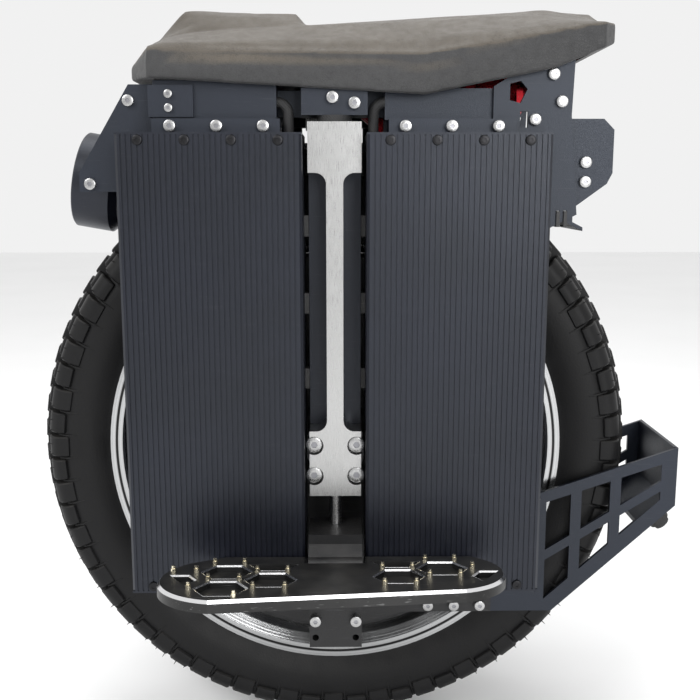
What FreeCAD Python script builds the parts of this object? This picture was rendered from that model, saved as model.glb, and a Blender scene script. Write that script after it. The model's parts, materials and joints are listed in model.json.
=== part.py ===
import FreeCAD, Part
import math
import os
import re
import Sketcher

# Electric unicycle: one driven wheel, a sprung chassis that slides on two bars, and two folding pedals.
# Lengths are millimetres, angles are degrees. +X points to the rear, +Z up, the left side is at -Y.
# Every piece is drawn about the wheel's centre and lifted by the tyre's radius, so the ground is at Z = 0.

SIZES = [
    # Tyre and rim
    ("tyre_r", 252), ("tyre_shoulder_r", 240), ("tyre_shoulder_w", 38), ("sidewall_r", 42),
    ("tyre_wall", 7), ("tread_wall", 9), ("bead_w", 29), ("bead_gap", 0.3), ("bead_top_r", 192),
    ("rim_flange_r", 190), ("rim_flange_wall", 5), ("rim_flange_h", 10), ("rim_seat_r", 177.3),
    ("rim_well_r", 168), ("rim_well_w", 14), ("rim_ring_w", 26), ("drum_r", 158),
    # Hub motor
    ("magnet_wall", 7), ("magnet_w", 17), ("air_gap", 1), ("bond_gap", 0.1), ("stator_w", 14),
    ("cover_r", 165), ("cover_wall", 5), ("cover_boss_r", 36), ("bearing_r", 26), ("bearing_w", 15),
    ("bearing_in", 18), ("axle_r", 12.5), ("axle_mid_r", 22), ("run_gap", 0.03), ("cover_screw_ring", 161),
    ("cover_screw_r", 2), ("cover_screw_head_r", 3.6), ("cover_screw_head", 2.5), ("cover_screw_grip", 10),
    ("cover_screw_count", 12),
    # Bars, bridge and pedal hangers
    ("bar_w", 40), ("bar_near", 76), ("bar_far", 100), ("bar_bottom", -21), ("bar_block_top", 31),
    ("bar_head_low", 228), ("bar_top", 252.8), ("neck_w", 12.7), ("neck_fillet", 8.5),
    ("clamp_near", 48), ("clamp_top", 29), ("rail_near", 64), ("rail_low", 31.3),
    ("bar_screw_x", 16.5), ("bar_screw_low", -5), ("bar_screw_high", 19.5), ("bar_screw_r", 4),
    ("bar_screw_head_r", 6.5), ("bar_screw_head", 8), ("bar_sink_r", 7.3), ("bar_sink", 12),
    ("bar_screw_grip", 30), ("screw_gap", 0.1),
    ("bridge_top", 265), ("bridge_arch", 257.5), ("arch_half", 56),
    ("rod_r", 4.85), ("rod_y", 88), ("rod_seat", 20),
    ("hanger_w", 41), ("hanger_near", 78), ("hanger_far", 116), ("hanger_top", -47), ("hanger_bottom", -140),
    ("foot_top", -104), ("stand_face", 49), ("hanger_arm", 132), ("hanger_arm_wall", 5), ("hanger_arm_top", -121),
    ("hanger_screw_x", 15.8), ("hanger_screw_z", -116.5), ("hanger_hole_z", -132), ("hanger_hole_r", 2.6),
    ("hanger_hole_deep", 18),
    ("hinge_y", 130), ("hinge_z", -68), ("hinge_pin_r", 4), ("hinge_pin_half", 45), ("knuckle_r", 8),
    # Pedals
    ("pedal_tilt", 6.5), ("pedal_top", 7), ("pedal_wall", 15), ("pedal_in", -7.5), ("pedal_front", -84),
    ("pedal_rear", 104), ("pedal_front_corner", -108), ("pedal_front_step", 8), ("pedal_rear_corner", 112),
    ("pedal_rear_step", 1), ("pedal_out_front", 98), ("pedal_out_rear", 77), ("pedal_out_rear_x", 90),
    ("pedal_front_round", 52), ("pedal_rear_round", 47), ("pedal_notch", 43), ("pedal_notch_out", 10),
    ("pedal_chamfer", 2), ("pedal_edge_lean", -45), ("pedal_edge_wall", 8.5),
    ("knuckle_half", 52), ("knuckle_out", 9),
    ("cell_r", 22), ("cell_pocket_r", 19.2), ("cell_deep", 5), ("side_cell_r", 14), ("cell_x", 78.5),
    ("cell_front_u", 33), ("cell_rear_u", 26), ("stud_r", 2), ("stud_h", 5), ("stud_seat", 4),
    # Rear stand
    ("stand_wall", 3), ("stand_front", 168), ("stand_front_top", -38), ("stand_rear", 287), ("stand_rear_top", 2.5),
    ("stand_rear_low", -48), ("stand_heel", 185), ("stand_heel_z", -142), ("stand_arm_front", 76),
    ("stand_arm_top", -124), ("stand_border", 10), ("stand_flange", 12), ("stand_lip", 26),
    ("foot_pad_r", 9), ("foot_pad_h", 13), ("foot_pad_y", 32), ("stand_screw_front", 100), ("stand_screw_step", 22),
    ("stand_screw_z", -133), ("window_gap", 9), ("window_mid", 203),
    # Battery boxes
    ("box_in", 23.5), ("box_out", 157.5), ("box_near", 52), ("box_far", 118), ("box_low", -93), ("box_top", 256.3),
    ("box_wall", 2.5), ("box_chamfer", 2), ("cap_lip", 1.5), ("cap_plug", 8), ("cap_gap", 0.2),
    ("rib_pitch", 4), ("rib_groove", 1.1), ("rib_deep", 0.8), ("rib_margin", 5), ("pack_gap", 2),
    ("box_screw_in", 17), ("box_screw_step", 33.5), ("box_screw_r", 2), ("box_screw_head_r", 3.65),
    ("box_screw_head", 1.9), ("box_screw_grip", 6), ("box_sink", 1.2),
    ("glide_w", 12), ("glide_h", 16), ("glide_low", 60), ("glide_step", 60), ("glide_gap", 0.3), ("glide_count", 3),
    # Upper chassis
    ("strip_in", 40), ("strip_out", 134), ("strip_near", 73), ("strip_far", 100), ("case_low", 267),
    ("strip_screw_in", 52), ("strip_screw_step", 34), ("strip_screw_z", 261.5),
    ("case_front", -134), ("case_rear", -43), ("case_half", 90), ("case_top", 295), ("case_wall", 3),
    ("board_gap", 6), ("board_wall", 1.6), ("board_post", 2.5), ("board_post_r", 3), ("board_cap_r", 8),
    ("board_cap_h", 13),
    ("rail_front", 37.5), ("rail_rear", 129), ("rail_in", 60), ("rail_out", 86), ("rail_top", 290),
    ("head_half", 24.5), ("head_low", 270), ("head_top", 289.5), ("head_in", 70), ("head_out", 93.5),
    ("bump_r", 13), ("bump_hole_r", 7), ("bump_gap", 0.3), ("bump_y", 84),
    ("screw_r", 3), ("screw_head_r", 4.4), ("screw_head", 4.5), ("screw_grip", 12),
    ("bracket_screw_r", 2), ("bracket_head_r", 3.1), ("bracket_head", 2.2),
    # Front plates and headlight
    ("fplate_near", 68.5), ("fplate_wall", 3), ("fplate_tip_x", -156), ("fplate_tip_z", 294),
    ("fplate_nose_x", -196), ("fplate_nose_z", 228), ("fplate_low", 214), ("plate_gap", 1),
    ("bracket_rear", -104), ("bracket_low", 268.5), ("bracket_top", 291.5),
    ("tube_r", 6), ("top_tube_x", -156), ("top_tube_z", 282),
    ("lamp_x", -205), ("lamp_z", 223), ("lamp_tilt", 10), ("lamp_r", 39), ("lamp_wall", 3), ("lamp_front", -6),
    ("lamp_rear", 30), ("lamp_pivot", 18), ("lens_wall", 3),
    ("lens_inset", 2), ("reflector_wall", 2), ("reflector_r", 9), ("reflector_deep", 12),
    # Rear plates, wings, tail light and splash guard
    ("rplate_wall", 4), ("rplate_front", 118), ("rplate_step_z", 291), ("rplate_peak", 150),
    ("rplate_peak_z", 310.5), ("rplate_rear", 178), ("rplate_rear_z", 316), ("rplate_waist", 176.5),
    ("rplate_waist_z", 270), ("rplate_tail", 183), ("rplate_tail_z", 197), ("rplate_toe", 163), ("rplate_toe_z", 187),
    ("wing_rear", 210), ("wing_top", 268), ("wing_low", 201), ("wing_wall", 4), ("wing_corner", 8),
    ("wing_slope_z", 220), ("tail_x", 182), ("tail_depth", 14), ("tail_low", 213), ("tail_top", 245),
    ("tail_lens_wall", 4), ("tail_lens_half", 62), ("tail_screw_z", 236), ("tail_screw_step", 14.5),
    ("guard_wall", 2.5), ("guard_reach", 24), ("guard_slope", 27), ("guard_x", 165), ("guard_z", 199.5),
    ("guard_ear", 16), ("tie_w", 2.5), ("tie_wall", 1.2), ("tie_front", 167.5), ("tie_step", 5.5), ("tie_gap", 0.3),
    ("tie_in", 81.5), ("tie_z", 189), ("tie_h", 9.4),
    # Leads and controls
    ("lead_r", 4), ("lead_y", 84), ("lead_turn", 8.5), ("lead_rise", 15),
    ("button_x", -60), ("button_z", 279.8), ("button_r", 8), ("button_gap", 0.25), ("button_proud", 2.5),
    ("button_flange", 1.5),
    ("port_z", 277), ("port_x", -88), ("port_r", 9), ("port_bore_r", 6.5), ("port_proud", 4),
    ("flap_r", 10), ("flap_wall", 2.5), ("flap_hinge_z", 289), ("flap_gap", 0.3), ("flap_pin_r", 1.5),
    # Suspension linkage
    ("travel", 70), ("pivot_x", 48), ("pivot_z", 266), ("roller_arm", 60), ("shock_arm", 25), ("shaft_r", 6),
    ("rocker_hub_r", 9), ("rocker_near", 8), ("rocker_wall", 5), ("rocker_edge", 9), ("link_pin_r", 4),
    ("roller_r", 6), ("roller_half", 6), ("slot_gap", 1.3), ("lug_wall", 10), ("lug_edge", 5),
    ("shock_tilt", 5.5), ("shock_length", 102), ("can_r", 27), ("can_front", 42), ("can_rear", 92),
    ("can_groove", 2), ("eye_r", 11), ("eye_w", 12), ("eye_gap", 0.8), ("rod_reach", 80), ("shock_rod_r", 8),
    # Seat
    ("seat_half", 100), ("seat_skirt", 6), ("seat_shoulder", 0.62), ("seat_ridge", 0.46), ("pan_wall", 3),
    ("pan_gap", 0.3), ("tunnel_half", 33), ("tunnel_top", 332), ("tunnel_front", -32), ("tunnel_rear", 184),
    ("hollow_front", -131), ("hollow_front_z", 298.5), ("hollow_mid", 66), ("hollow_mid_z", 298.5),
    ("hollow_back", 165), ("hollow_back_z", 318), ("hollow_rear", 194), ("hollow_rear_z", 328),
]

# Seat stations from nose to tail: place along X, share of the half width, then the heights of the lower edge,
# the side's upper edge, the shoulder and the ridge.
SEAT_STATIONS = [
    ("nose", -155, 0.62, 297, 307, 309, 310),
    ("brow", -136, 1.0, 296, 317, 327, 329),
    ("hump", -115, 1.0, 294.8, 316.6, 331, 351),
    ("saddle", -29, 1.0, 290, 315.3, 335.5, 347),
    ("dip", -22, 1.0, 289.6, 315.2, 336, 338.5),
    ("kink", 66, 1.0, 284.5, 314, 339, 344),
    ("back", 165, 1.0, 304, 330, 345, 352),
    ("rear", 204, 0.97, 318, 336, 343, 350),
    ("tail", 217, 0.8, 323, 337, 340, 344),
]
for station, *values in SEAT_STATIONS:
    fields = ("x", "share", "low", "edge", "shoulder", "ridge")
    SIZES += [(f"seat_{station}_{field}", value) for field, value in zip(fields, values)]

doc = FreeCAD.newDocument("electric_unicycle")
sheet = doc.addObject("Spreadsheet::Sheet", "Sizes")
for row, (name, value) in enumerate(SIZES, 1):
    sheet.set(f"A{row}", name)
    sheet.set(f"B{row}", str(value))
    sheet.setAlias(f"B{row}", name)
doc.recompute()
NAMES = {name for name, value in SIZES}
SIDES = ("left", "right")
nodes = []


# Formulas

def formula(text):
    """A formula in plain size names, with each name pointing at its cell."""
    return re.sub(r"[a-z_]\w*", lambda m: "Sizes." + m[0] if m[0] in NAMES else m[0], str(text))


def number(text):
    return float(sheet.evalExpression(str(text)))


def bind(thing, prop, text):
    thing.setExpression(prop, formula(text))


def minus(text):
    return f"-({text})"


def along(start, step, index):
    return f"{start} + {index} * {step}"


# Bodies, sketches and features

def new_body(label, x="0", y="0", z="0", axis=None, angle="0"):
    """A piece drawn about the wheel's centre, or about a point given from there, and turned about an axis."""
    body = doc.addObject("PartDesign::Body", label)
    body.Label = label
    body.AllowCompound = True
    if axis:
        body.Placement = FreeCAD.Placement(FreeCAD.Vector(), FreeCAD.Rotation(axis, number(angle)))
        bind(body, "Placement.Rotation.Angle", angle)
    bind(body, "Placement.Base.x", x)
    bind(body, "Placement.Base.y", y)
    bind(body, "Placement.Base.z", f"tyre_r + {z}")
    nodes.append(body)
    return body


def new_sketch(body, role, offset="0"):
    sketch = body.newObject("Sketcher::SketchObject", body.Name + "_sketch")
    plane = [feature for feature in body.Origin.OriginFeatures if feature.Role == role]
    sketch.AttachmentSupport = (plane[0], [""])
    sketch.MapMode = "FlatFace"
    bind(sketch, "AttachmentOffset.Base.z", offset)
    return sketch


def pin_point(sketch, geometry, end, x, y):
    for kind, text in (("DistanceX", x), ("DistanceY", y)):
        index = sketch.addConstraint(Sketcher.Constraint(kind, -1, 1, geometry, end, number(text)))
        bind(sketch, f"Constraints[{index}]", text)


def round_edge(start, end, radius):
    """The short arc between two points, with its centre to the left of the way for a positive radius."""
    half = (end - start) * 0.5
    rise = math.sqrt(radius ** 2 - half.Length ** 2)
    left = FreeCAD.Vector(-half.y, half.x, 0).normalize()
    centre = start + half + left * math.copysign(rise, radius)
    circle = Part.Circle(centre, FreeCAD.Vector(0, 0, 1), abs(radius))
    first, last = (start, end) if radius > 0 else (end, start)
    return Part.ArcOfCircle(circle, circle.parameter(first), circle.parameter(last))


def outline(sketch, points):
    """A closed outline. A point is (x, y), or (x, y, radius) where an arc leads on to the next point."""
    corners = [FreeCAD.Vector(number(point[0]), number(point[1]), 0) for point in points]
    first = sketch.GeometryCount
    ends = []
    for index, point in enumerate(points):
        start, end = corners[index], corners[(index + 1) % len(points)]
        bent = len(point) == 3
        edge = round_edge(start, end, number(point[2])) if bent else Part.LineSegment(start, end)
        sketch.addGeometry(edge)
        ends.append((2, 1) if bent and number(point[2]) < 0 else (1, 2))
    for index, point in enumerate(points):
        following = (index + 1) % len(points)
        sketch.addConstraint(Sketcher.Constraint(
            "Coincident", first + index, ends[index][1], first + following, ends[following][0]))
        pin_point(sketch, first + index, ends[index][0], point[0], point[1])
        if len(point) == 3:
            radius = sketch.addConstraint(Sketcher.Constraint("Radius", first + index, abs(number(point[2]))))
            bind(sketch, f"Constraints[{radius}]", f"abs({point[2]})")


def box_outline(sketch, x0, y0, x1, y1):
    outline(sketch, [(x0, y0), (x1, y0), (x1, y1), (x0, y1)])


def ring(sketch, x, y, radius):
    centre = FreeCAD.Vector(number(x), number(y), 0)
    index = sketch.addGeometry(Part.Circle(centre, FreeCAD.Vector(0, 0, 1), number(radius)))
    pin_point(sketch, index, 3, x, y)
    constraint = sketch.addConstraint(Sketcher.Constraint("Radius", index, number(radius)))
    bind(sketch, f"Constraints[{constraint}]", radius)


def extrude(body, kind, sketch, length, reverse=False):
    feature = body.newObject("PartDesign::" + kind, f"{body.Name}_{kind.lower()}")
    feature.Profile = sketch
    feature.Reversed = reverse
    bind(feature, "Length", length)
    return feature


def revolve(body, sketch, axis="H_Axis"):
    feature = body.newObject("PartDesign::Revolution", body.Name + "_turned")
    feature.Profile = sketch
    feature.ReferenceAxis = (sketch, [axis])
    feature.Angle = 360
    return feature


def side_feature(body, kind, draw, start, length, sides=SIDES):
    """Pads outwards from, or pockets inwards from, a plane at a distance from the wheel's middle plane."""
    for side in sides:
        sketch = new_sketch(body, "XZ_Plane", start if side == "left" else minus(start))
        draw(sketch)
        extrude(body, kind, sketch, length, reverse=side == "right")


def side_pads(body, draw, near, far, sides=SIDES):
    side_feature(body, "Pad", draw, near, f"{far} - ({near})", sides)


def side_holes(body, draw, far, depth, sides=SIDES):
    side_feature(body, "Pocket", draw, far, depth, sides)


def upright(body, kind, draw, low, high):
    """A pad upwards from one height to another, or a pocket downwards from the higher one."""
    sketch = new_sketch(body, "XY_Plane", low if kind == "Pad" else high)
    draw(sketch)
    extrude(body, kind, sketch, f"{high} - ({low})")


def across(body, kind, draw, half):
    """A pad or pocket along X, centred on the middle of the piece."""
    sketch = new_sketch(body, "YZ_Plane", minus(half) if kind == "Pad" else half)
    draw(sketch)
    extrude(body, kind, sketch, f"2 * ({half})")


def chamfer(body, size, test):
    """Breaks the edges that pass a test."""
    doc.recompute()
    base = body.Tip
    edges = [f"Edge{index}" for index, edge in enumerate(base.Shape.Edges, 1) if test(edge)]
    feature = body.newObject("PartDesign::Chamfer", body.Name + "_chamfer")
    feature.Base = (base, edges)
    bind(feature, "Size", size)


def rings(places, radius):
    """A drawing of one circle at each place."""
    def draw(sketch):
        for x, y in places:
            ring(sketch, x, y, radius)
    return draw


def screws(body, places, seat, head, head_r, shank_r, grip, sides=SIDES):
    """Socket screws along Y whose heads sit on a face at a distance from the middle plane."""
    side_pads(body, rings(places, head_r), seat, f"{seat} + {head}", sides)
    side_pads(body, rings(places, shank_r), f"{seat} - ({grip})", seat, sides)
    side_holes(body, rings(places, f"{shank_r} * 0.8"), f"{seat} + {head}", f"{head} * 0.6", sides)


# Wheel

BEAD_SEAT = "rim_seat_r + bead_gap"
FLANGE_IN = "bead_w + bead_gap"
FLANGE_OUT = "bead_w + bead_gap + 1.7 + rim_flange_wall"
CROWN_ROUND = "(tyre_shoulder_w^2 + (tyre_r - tyre_shoulder_r)^2) / (2 * (tyre_r - tyre_shoulder_r))"
INNER_W = "tyre_shoulder_w - tyre_wall"
INNER_R = "tyre_shoulder_r - tread_wall * 0.4"
INNER_CROWN = f"(({INNER_W})^2 + (tyre_r - tread_wall - ({INNER_R}))^2) / (2 * (tyre_r - tread_wall - ({INNER_R})))"


def make_tyre():
    tyre = new_body("tyre")
    sketch = new_sketch(tyre, "YZ_Plane")
    outline(sketch, [
        (minus("bead_w"), BEAD_SEAT), (minus("bead_w - tyre_wall"), BEAD_SEAT),
        (minus("bead_w - tyre_wall"), "bead_top_r", minus("sidewall_r - tyre_wall")),
        (minus(INNER_W), INNER_R, minus(INNER_CROWN)), (INNER_W, INNER_R, minus("sidewall_r - tyre_wall")),
        ("bead_w - tyre_wall", "bead_top_r"), ("bead_w - tyre_wall", BEAD_SEAT), ("bead_w", BEAD_SEAT),
        ("bead_w", "bead_top_r", "sidewall_r"), ("tyre_shoulder_w", "tyre_shoulder_r", CROWN_ROUND),
        (minus("tyre_shoulder_w"), "tyre_shoulder_r", "sidewall_r"), (minus("bead_w"), "bead_top_r"),
    ])
    revolve(tyre, sketch)


def make_rim():
    rim = new_body("rim")
    half = [
        ("rim_ring_w", "drum_r"), ("rim_ring_w", "cover_r + 1"),
        (f"{FLANGE_OUT} - rim_flange_wall", "rim_flange_r - rim_flange_h * 1.8"),
        (FLANGE_OUT, "rim_flange_r - rim_flange_h"), (FLANGE_OUT, "rim_flange_r"),
        (f"{FLANGE_OUT} - rim_flange_wall", "rim_flange_r"), (FLANGE_IN, "rim_seat_r"),
        ("rim_well_w * 1.45", "rim_seat_r"), ("rim_well_w", "rim_well_r"),
    ]
    sketch = new_sketch(rim, "YZ_Plane")
    outline(sketch, half + [(minus(y), r) for y, r in reversed(half)])
    revolve(rim, sketch)
    side_holes(rim, cover_screw_rings("cover_screw_r + screw_gap"), "rim_ring_w", "cover_screw_grip")


def cover_screw_rings(radius):
    count = int(number("cover_screw_count"))
    places = [(f"cover_screw_ring * cos({index} * 360 / cover_screw_count)",
               f"cover_screw_ring * sin({index} * 360 / cover_screw_count)") for index in range(count)]
    return rings(places, radius)


def make_hub():
    for side in SIDES:
        sign = "-1" if side == "left" else "1"
        cover = new_body(f"motor_cover_{side}")
        sketch = new_sketch(cover, "YZ_Plane")
        section = [
            ("bearing_in", "bearing_r + run_gap"), ("bearing_in", "cover_boss_r"),
            ("rim_ring_w", "cover_boss_r + 8"), ("rim_ring_w", "cover_r"),
            ("rim_ring_w + cover_wall * 0.7", "cover_r"), ("rim_ring_w + cover_wall", "cover_r - 3"),
            ("rim_ring_w + cover_wall", "cover_boss_r + 4"), ("bearing_in + bearing_w", "cover_boss_r"),
            ("bearing_in + bearing_w", "bearing_r + run_gap"),
        ]
        outline(sketch, [(f"{sign} * ({y})", r) for y, r in section])
        revolve(cover, sketch)
        side_holes(cover, cover_screw_rings("cover_screw_r + screw_gap"),
                   "rim_ring_w + cover_wall", "cover_wall", (side,))

    magnets = new_body("magnet_ring")
    side_pads(magnets, lambda sketch: (ring(sketch, "0", "0", "drum_r - bond_gap"),
                                       ring(sketch, "0", "0", "drum_r - bond_gap - magnet_wall")),
              minus("magnet_w"), "magnet_w", ("left",))

    bearings = new_body("hub_bearings")
    side_pads(bearings, lambda sketch: (ring(sketch, "0", "0", "bearing_r"),
                                        ring(sketch, "0", "0", "axle_r + run_gap")),
              "bearing_in", "bearing_in + bearing_w")

    fasteners = new_body("cover_screws")
    face = "rim_ring_w + cover_wall"
    side_pads(fasteners, cover_screw_rings("cover_screw_head_r"), face, f"{face} + cover_screw_head")
    side_pads(fasteners, cover_screw_rings("cover_screw_r"), f"{face} - cover_wall - cover_screw_grip * 0.9", face)


# Carrier: axle, bars, bridge, hangers and stand

def make_axle():
    axle = new_body("axle")
    sketch = new_sketch(axle, "YZ_Plane")
    half = [("bar_near - 0.1", "0"), ("bar_near - 0.1", "axle_r - 1"), ("bar_near - 1.1", "axle_r"),
            ("bearing_in - 2", "axle_r"), ("bearing_in - 2", "axle_mid_r")]
    outline(sketch, half + [(minus(y), r) for y, r in reversed(half)])
    revolve(axle, sketch)

    stator = new_body("stator")
    side_pads(stator, lambda sketch: (
        ring(sketch, "0", "0", "drum_r - bond_gap - magnet_wall - air_gap"),
        ring(sketch, "0", "0", "axle_mid_r + run_gap")), minus("stator_w"), "stator_w", ("left",))

    clamps = new_body("axle_clamps")
    side_pads(clamps, lambda sketch: (
        box_outline(sketch, "-bar_w / 2", "bar_bottom", "bar_w / 2", "clamp_top"),
        ring(sketch, "0", "0", "axle_r + run_gap")), "clamp_near", "bar_near")
    side_holes(clamps, rings(BAR_SCREWS, "bar_screw_r + screw_gap"), "bar_near",
               "bar_screw_grip - (bar_far - bar_sink - bar_near) + 1")


BAR_SCREWS = [(x, z) for x in ("-bar_screw_x", "bar_screw_x") for z in ("bar_screw_low", "bar_screw_high")]


def draw_bar(sketch):
    half = [
        ("bar_w / 2", "bar_bottom"), ("bar_w / 2", "bar_block_top"),
        ("neck_w / 2 + neck_fillet", "bar_block_top", "-neck_fillet"),
        ("neck_w / 2", "bar_block_top + neck_fillet"),
        ("neck_w / 2", "bar_head_low - neck_fillet", "-neck_fillet"),
        ("neck_w / 2 + neck_fillet", "bar_head_low"), ("bar_w / 2", "bar_head_low"), ("bar_w / 2", "bar_top"),
    ]
    mirrored = [
        ("-bar_w / 2", "bar_top"), ("-bar_w / 2", "bar_head_low"),
        ("-neck_w / 2 - neck_fillet", "bar_head_low", "-neck_fillet"),
        ("-neck_w / 2", "bar_head_low - neck_fillet"),
        ("-neck_w / 2", "bar_block_top + neck_fillet", "-neck_fillet"),
        ("-neck_w / 2 - neck_fillet", "bar_block_top"), ("-bar_w / 2", "bar_block_top"), ("-bar_w / 2", "bar_bottom"),
    ]
    outline(sketch, half + mirrored)


def make_bars():
    bars = new_body("slider_bars")
    side_pads(bars, draw_bar, "bar_near", "bar_far")
    side_holes(bars, rings(BAR_SCREWS, "bar_screw_r + screw_gap"), "bar_far", "bar_far - bar_near")
    side_holes(bars, rings(BAR_SCREWS, "bar_sink_r"), "bar_far", "bar_sink")
    rod_places = [("0", "-rod_y"), ("0", "rod_y")]
    upright(bars, "Pocket", rings(rod_places, "rod_r + screw_gap"), "bar_bottom - 1", "bar_bottom + rod_seat")

    rails = new_body("slide_rails")
    side_pads(rails, lambda sketch: box_outline(sketch, "-bar_w / 2", "rail_low", "bar_w / 2", "bar_top"),
              "rail_near", "bar_near")

    bridge = new_body("fork_bridge")
    across(bridge, "Pad", lambda sketch: outline(sketch, [
        ("-bar_far", "bar_top"), ("-arch_half - 4", "bar_top"), ("-arch_half", "bridge_arch"),
        ("arch_half", "bridge_arch"), ("arch_half + 4", "bar_top"), ("bar_far", "bar_top"),
        ("bar_far", "bridge_top"), ("-bar_far", "bridge_top")]), "bar_w / 2")
    slot_r = "(roller_r + slot_gap)"
    side_pads(bridge, lambda sketch: outline(sketch, [
        (f"{ROLLER_MID} - {slot_r} - lug_edge", "bridge_top - 1"), (f"{ROLLER_X} + {slot_r} + lug_edge", "bridge_top - 1"),
        (f"{ROLLER_X} + {slot_r} + lug_edge", f"{ROLLER_Z} + {slot_r} + lug_edge"),
        (f"{ROLLER_MID} - {slot_r} - lug_edge", f"{ROLLER_Z} + {slot_r} + lug_edge")]),
        "-lug_wall / 2", "lug_wall / 2", ("left",))
    side_holes(bridge, lambda sketch: box_outline(
        sketch, f"{ROLLER_MID} - {slot_r}", f"{ROLLER_Z} - ({slot_r})", f"{ROLLER_X} + {slot_r}",
        f"{ROLLER_Z} + {slot_r}"), "lug_wall / 2", "lug_wall", ("left",))

    rods = new_body("pedal_rods")
    upright(rods, "Pad", rings(rod_places, "rod_r"), "hanger_top - rod_seat", "bar_bottom + rod_seat - screw_gap")


ROLLER_X = "pivot_x - sqrt(roller_arm^2 - (travel / 2)^2)"
ROLLER_MID = "pivot_x - roller_arm"
ROLLER_Z = "pivot_z + travel / 2"
HANGER_SCREWS = [("-hanger_screw_x", "hanger_screw_z"), ("hanger_screw_x", "hanger_screw_z")]
HANGER_HOLES = [("-hanger_screw_x", "hanger_hole_z"), ("hanger_screw_x", "hanger_hole_z")]
STAND_SCREWS = [(along("stand_screw_front", "stand_screw_step", index), "stand_screw_z") for index in (-1, 0, 1)]


def make_hangers():
    hangers = new_body("pedal_hangers")
    for sign in ("-1", "1"):
        section = [
            ("hanger_near", "hanger_top"), ("hanger_far", "hanger_top"), ("hanger_far", "hinge_z + knuckle_r * 1.7"),
            ("hinge_y - 3", "hinge_z + knuckle_r * 0.9"), ("hinge_y - 3", "hinge_z - knuckle_r * 0.9"),
            ("hanger_far", "hinge_z - knuckle_r * 2.4"), ("hanger_far", "hanger_bottom"),
            ("stand_face", "hanger_bottom"), ("stand_face", "foot_top"), ("hanger_near", "foot_top"),
        ]
        across(hangers, "Pad", lambda sketch: outline(sketch, [(f"{sign} * ({y})", z) for y, z in section]),
               "hanger_w / 2")
    hinges = [("-hinge_y", "hinge_z"), ("hinge_y", "hinge_z")]
    across(hangers, "Pad", rings(hinges, "knuckle_r"), "hanger_w / 2")
    across(hangers, "Pocket", rings(hinges, "hinge_pin_r + run_gap"), "hanger_w / 2 + 1")
    side_pads(hangers, lambda sketch: box_outline(sketch, "0", "hanger_bottom", "hanger_arm", "hanger_arm_top"),
              "stand_face", "stand_face + hanger_arm_wall")
    side_holes(hangers, rings(HANGER_SCREWS, "screw_r + screw_gap"), "hanger_far", "screw_grip + 1")
    side_holes(hangers, rings(HANGER_HOLES, "hanger_hole_r"), "hanger_far", "hanger_hole_deep")
    side_holes(hangers, rings(STAND_SCREWS, "screw_r + screw_gap"), "stand_face + hanger_arm_wall", "hanger_arm_wall")
    upright(hangers, "Pocket", rings([("0", "-rod_y"), ("0", "rod_y")], "rod_r + screw_gap"),
            "hanger_top - rod_seat - screw_gap", "hanger_top + 1")

    pins = new_body("pedal_hinge_pins")
    across(pins, "Pad", rings(hinges, "hinge_pin_r"), "hinge_pin_half")

    fasteners = new_body("frame_screws")
    screws(fasteners, BAR_SCREWS, "bar_far - bar_sink", "bar_screw_head", "bar_screw_head_r", "bar_screw_r",
           "bar_screw_grip")
    screws(fasteners, HANGER_SCREWS, "hanger_far", "screw_head", "screw_head_r", "screw_r", "screw_grip")
    screws(fasteners, STAND_SCREWS, "stand_face + hanger_arm_wall", "screw_head", "screw_head_r", "screw_r",
           "hanger_arm_wall + stand_wall")


STAND_SLOPE = "(stand_rear_top - stand_front_top) / (stand_rear - stand_front)"
HEEL_SLOPE = "(stand_rear_low - stand_heel_z) / (stand_rear - stand_heel)"


def stand_top(x, drop):
    return f"stand_front_top + ({x} - stand_front) * {STAND_SLOPE} - {drop}"


def stand_low(x, rise):
    return f"stand_heel_z + ({x} - stand_heel) * {HEEL_SLOPE} + {rise}"


def stand_brace(x, rise):
    """The diagonal brace that splits each pair of windows, half way between the top and bottom edges."""
    return f"(({stand_top(x, '0')}) + ({stand_low(x, '0')})) / 2 + {rise}"


def draw_stand_windows(sketch):
    posts = ["stand_front + stand_border", "window_mid", "window_mid + 33", "stand_rear - stand_border * 1.3"]
    for left, right in zip(posts, posts[1:]):
        near = left if left == posts[0] else f"{left} + window_gap / 2"
        far = right if right == posts[-1] else f"{right} - window_gap / 2"
        outline(sketch, [(near, stand_brace(near, "window_gap / 2")), (far, stand_brace(far, "window_gap / 2")),
                         (far, stand_top(far, "stand_border")), (near, stand_top(near, "stand_border"))])
        outline(sketch, [(near, stand_low(near, "stand_border * 1.7")), (far, stand_low(far, "stand_border * 1.7")),
                         (far, stand_brace(far, "-window_gap / 2")), (near, stand_brace(near, "-window_gap / 2"))])


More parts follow.
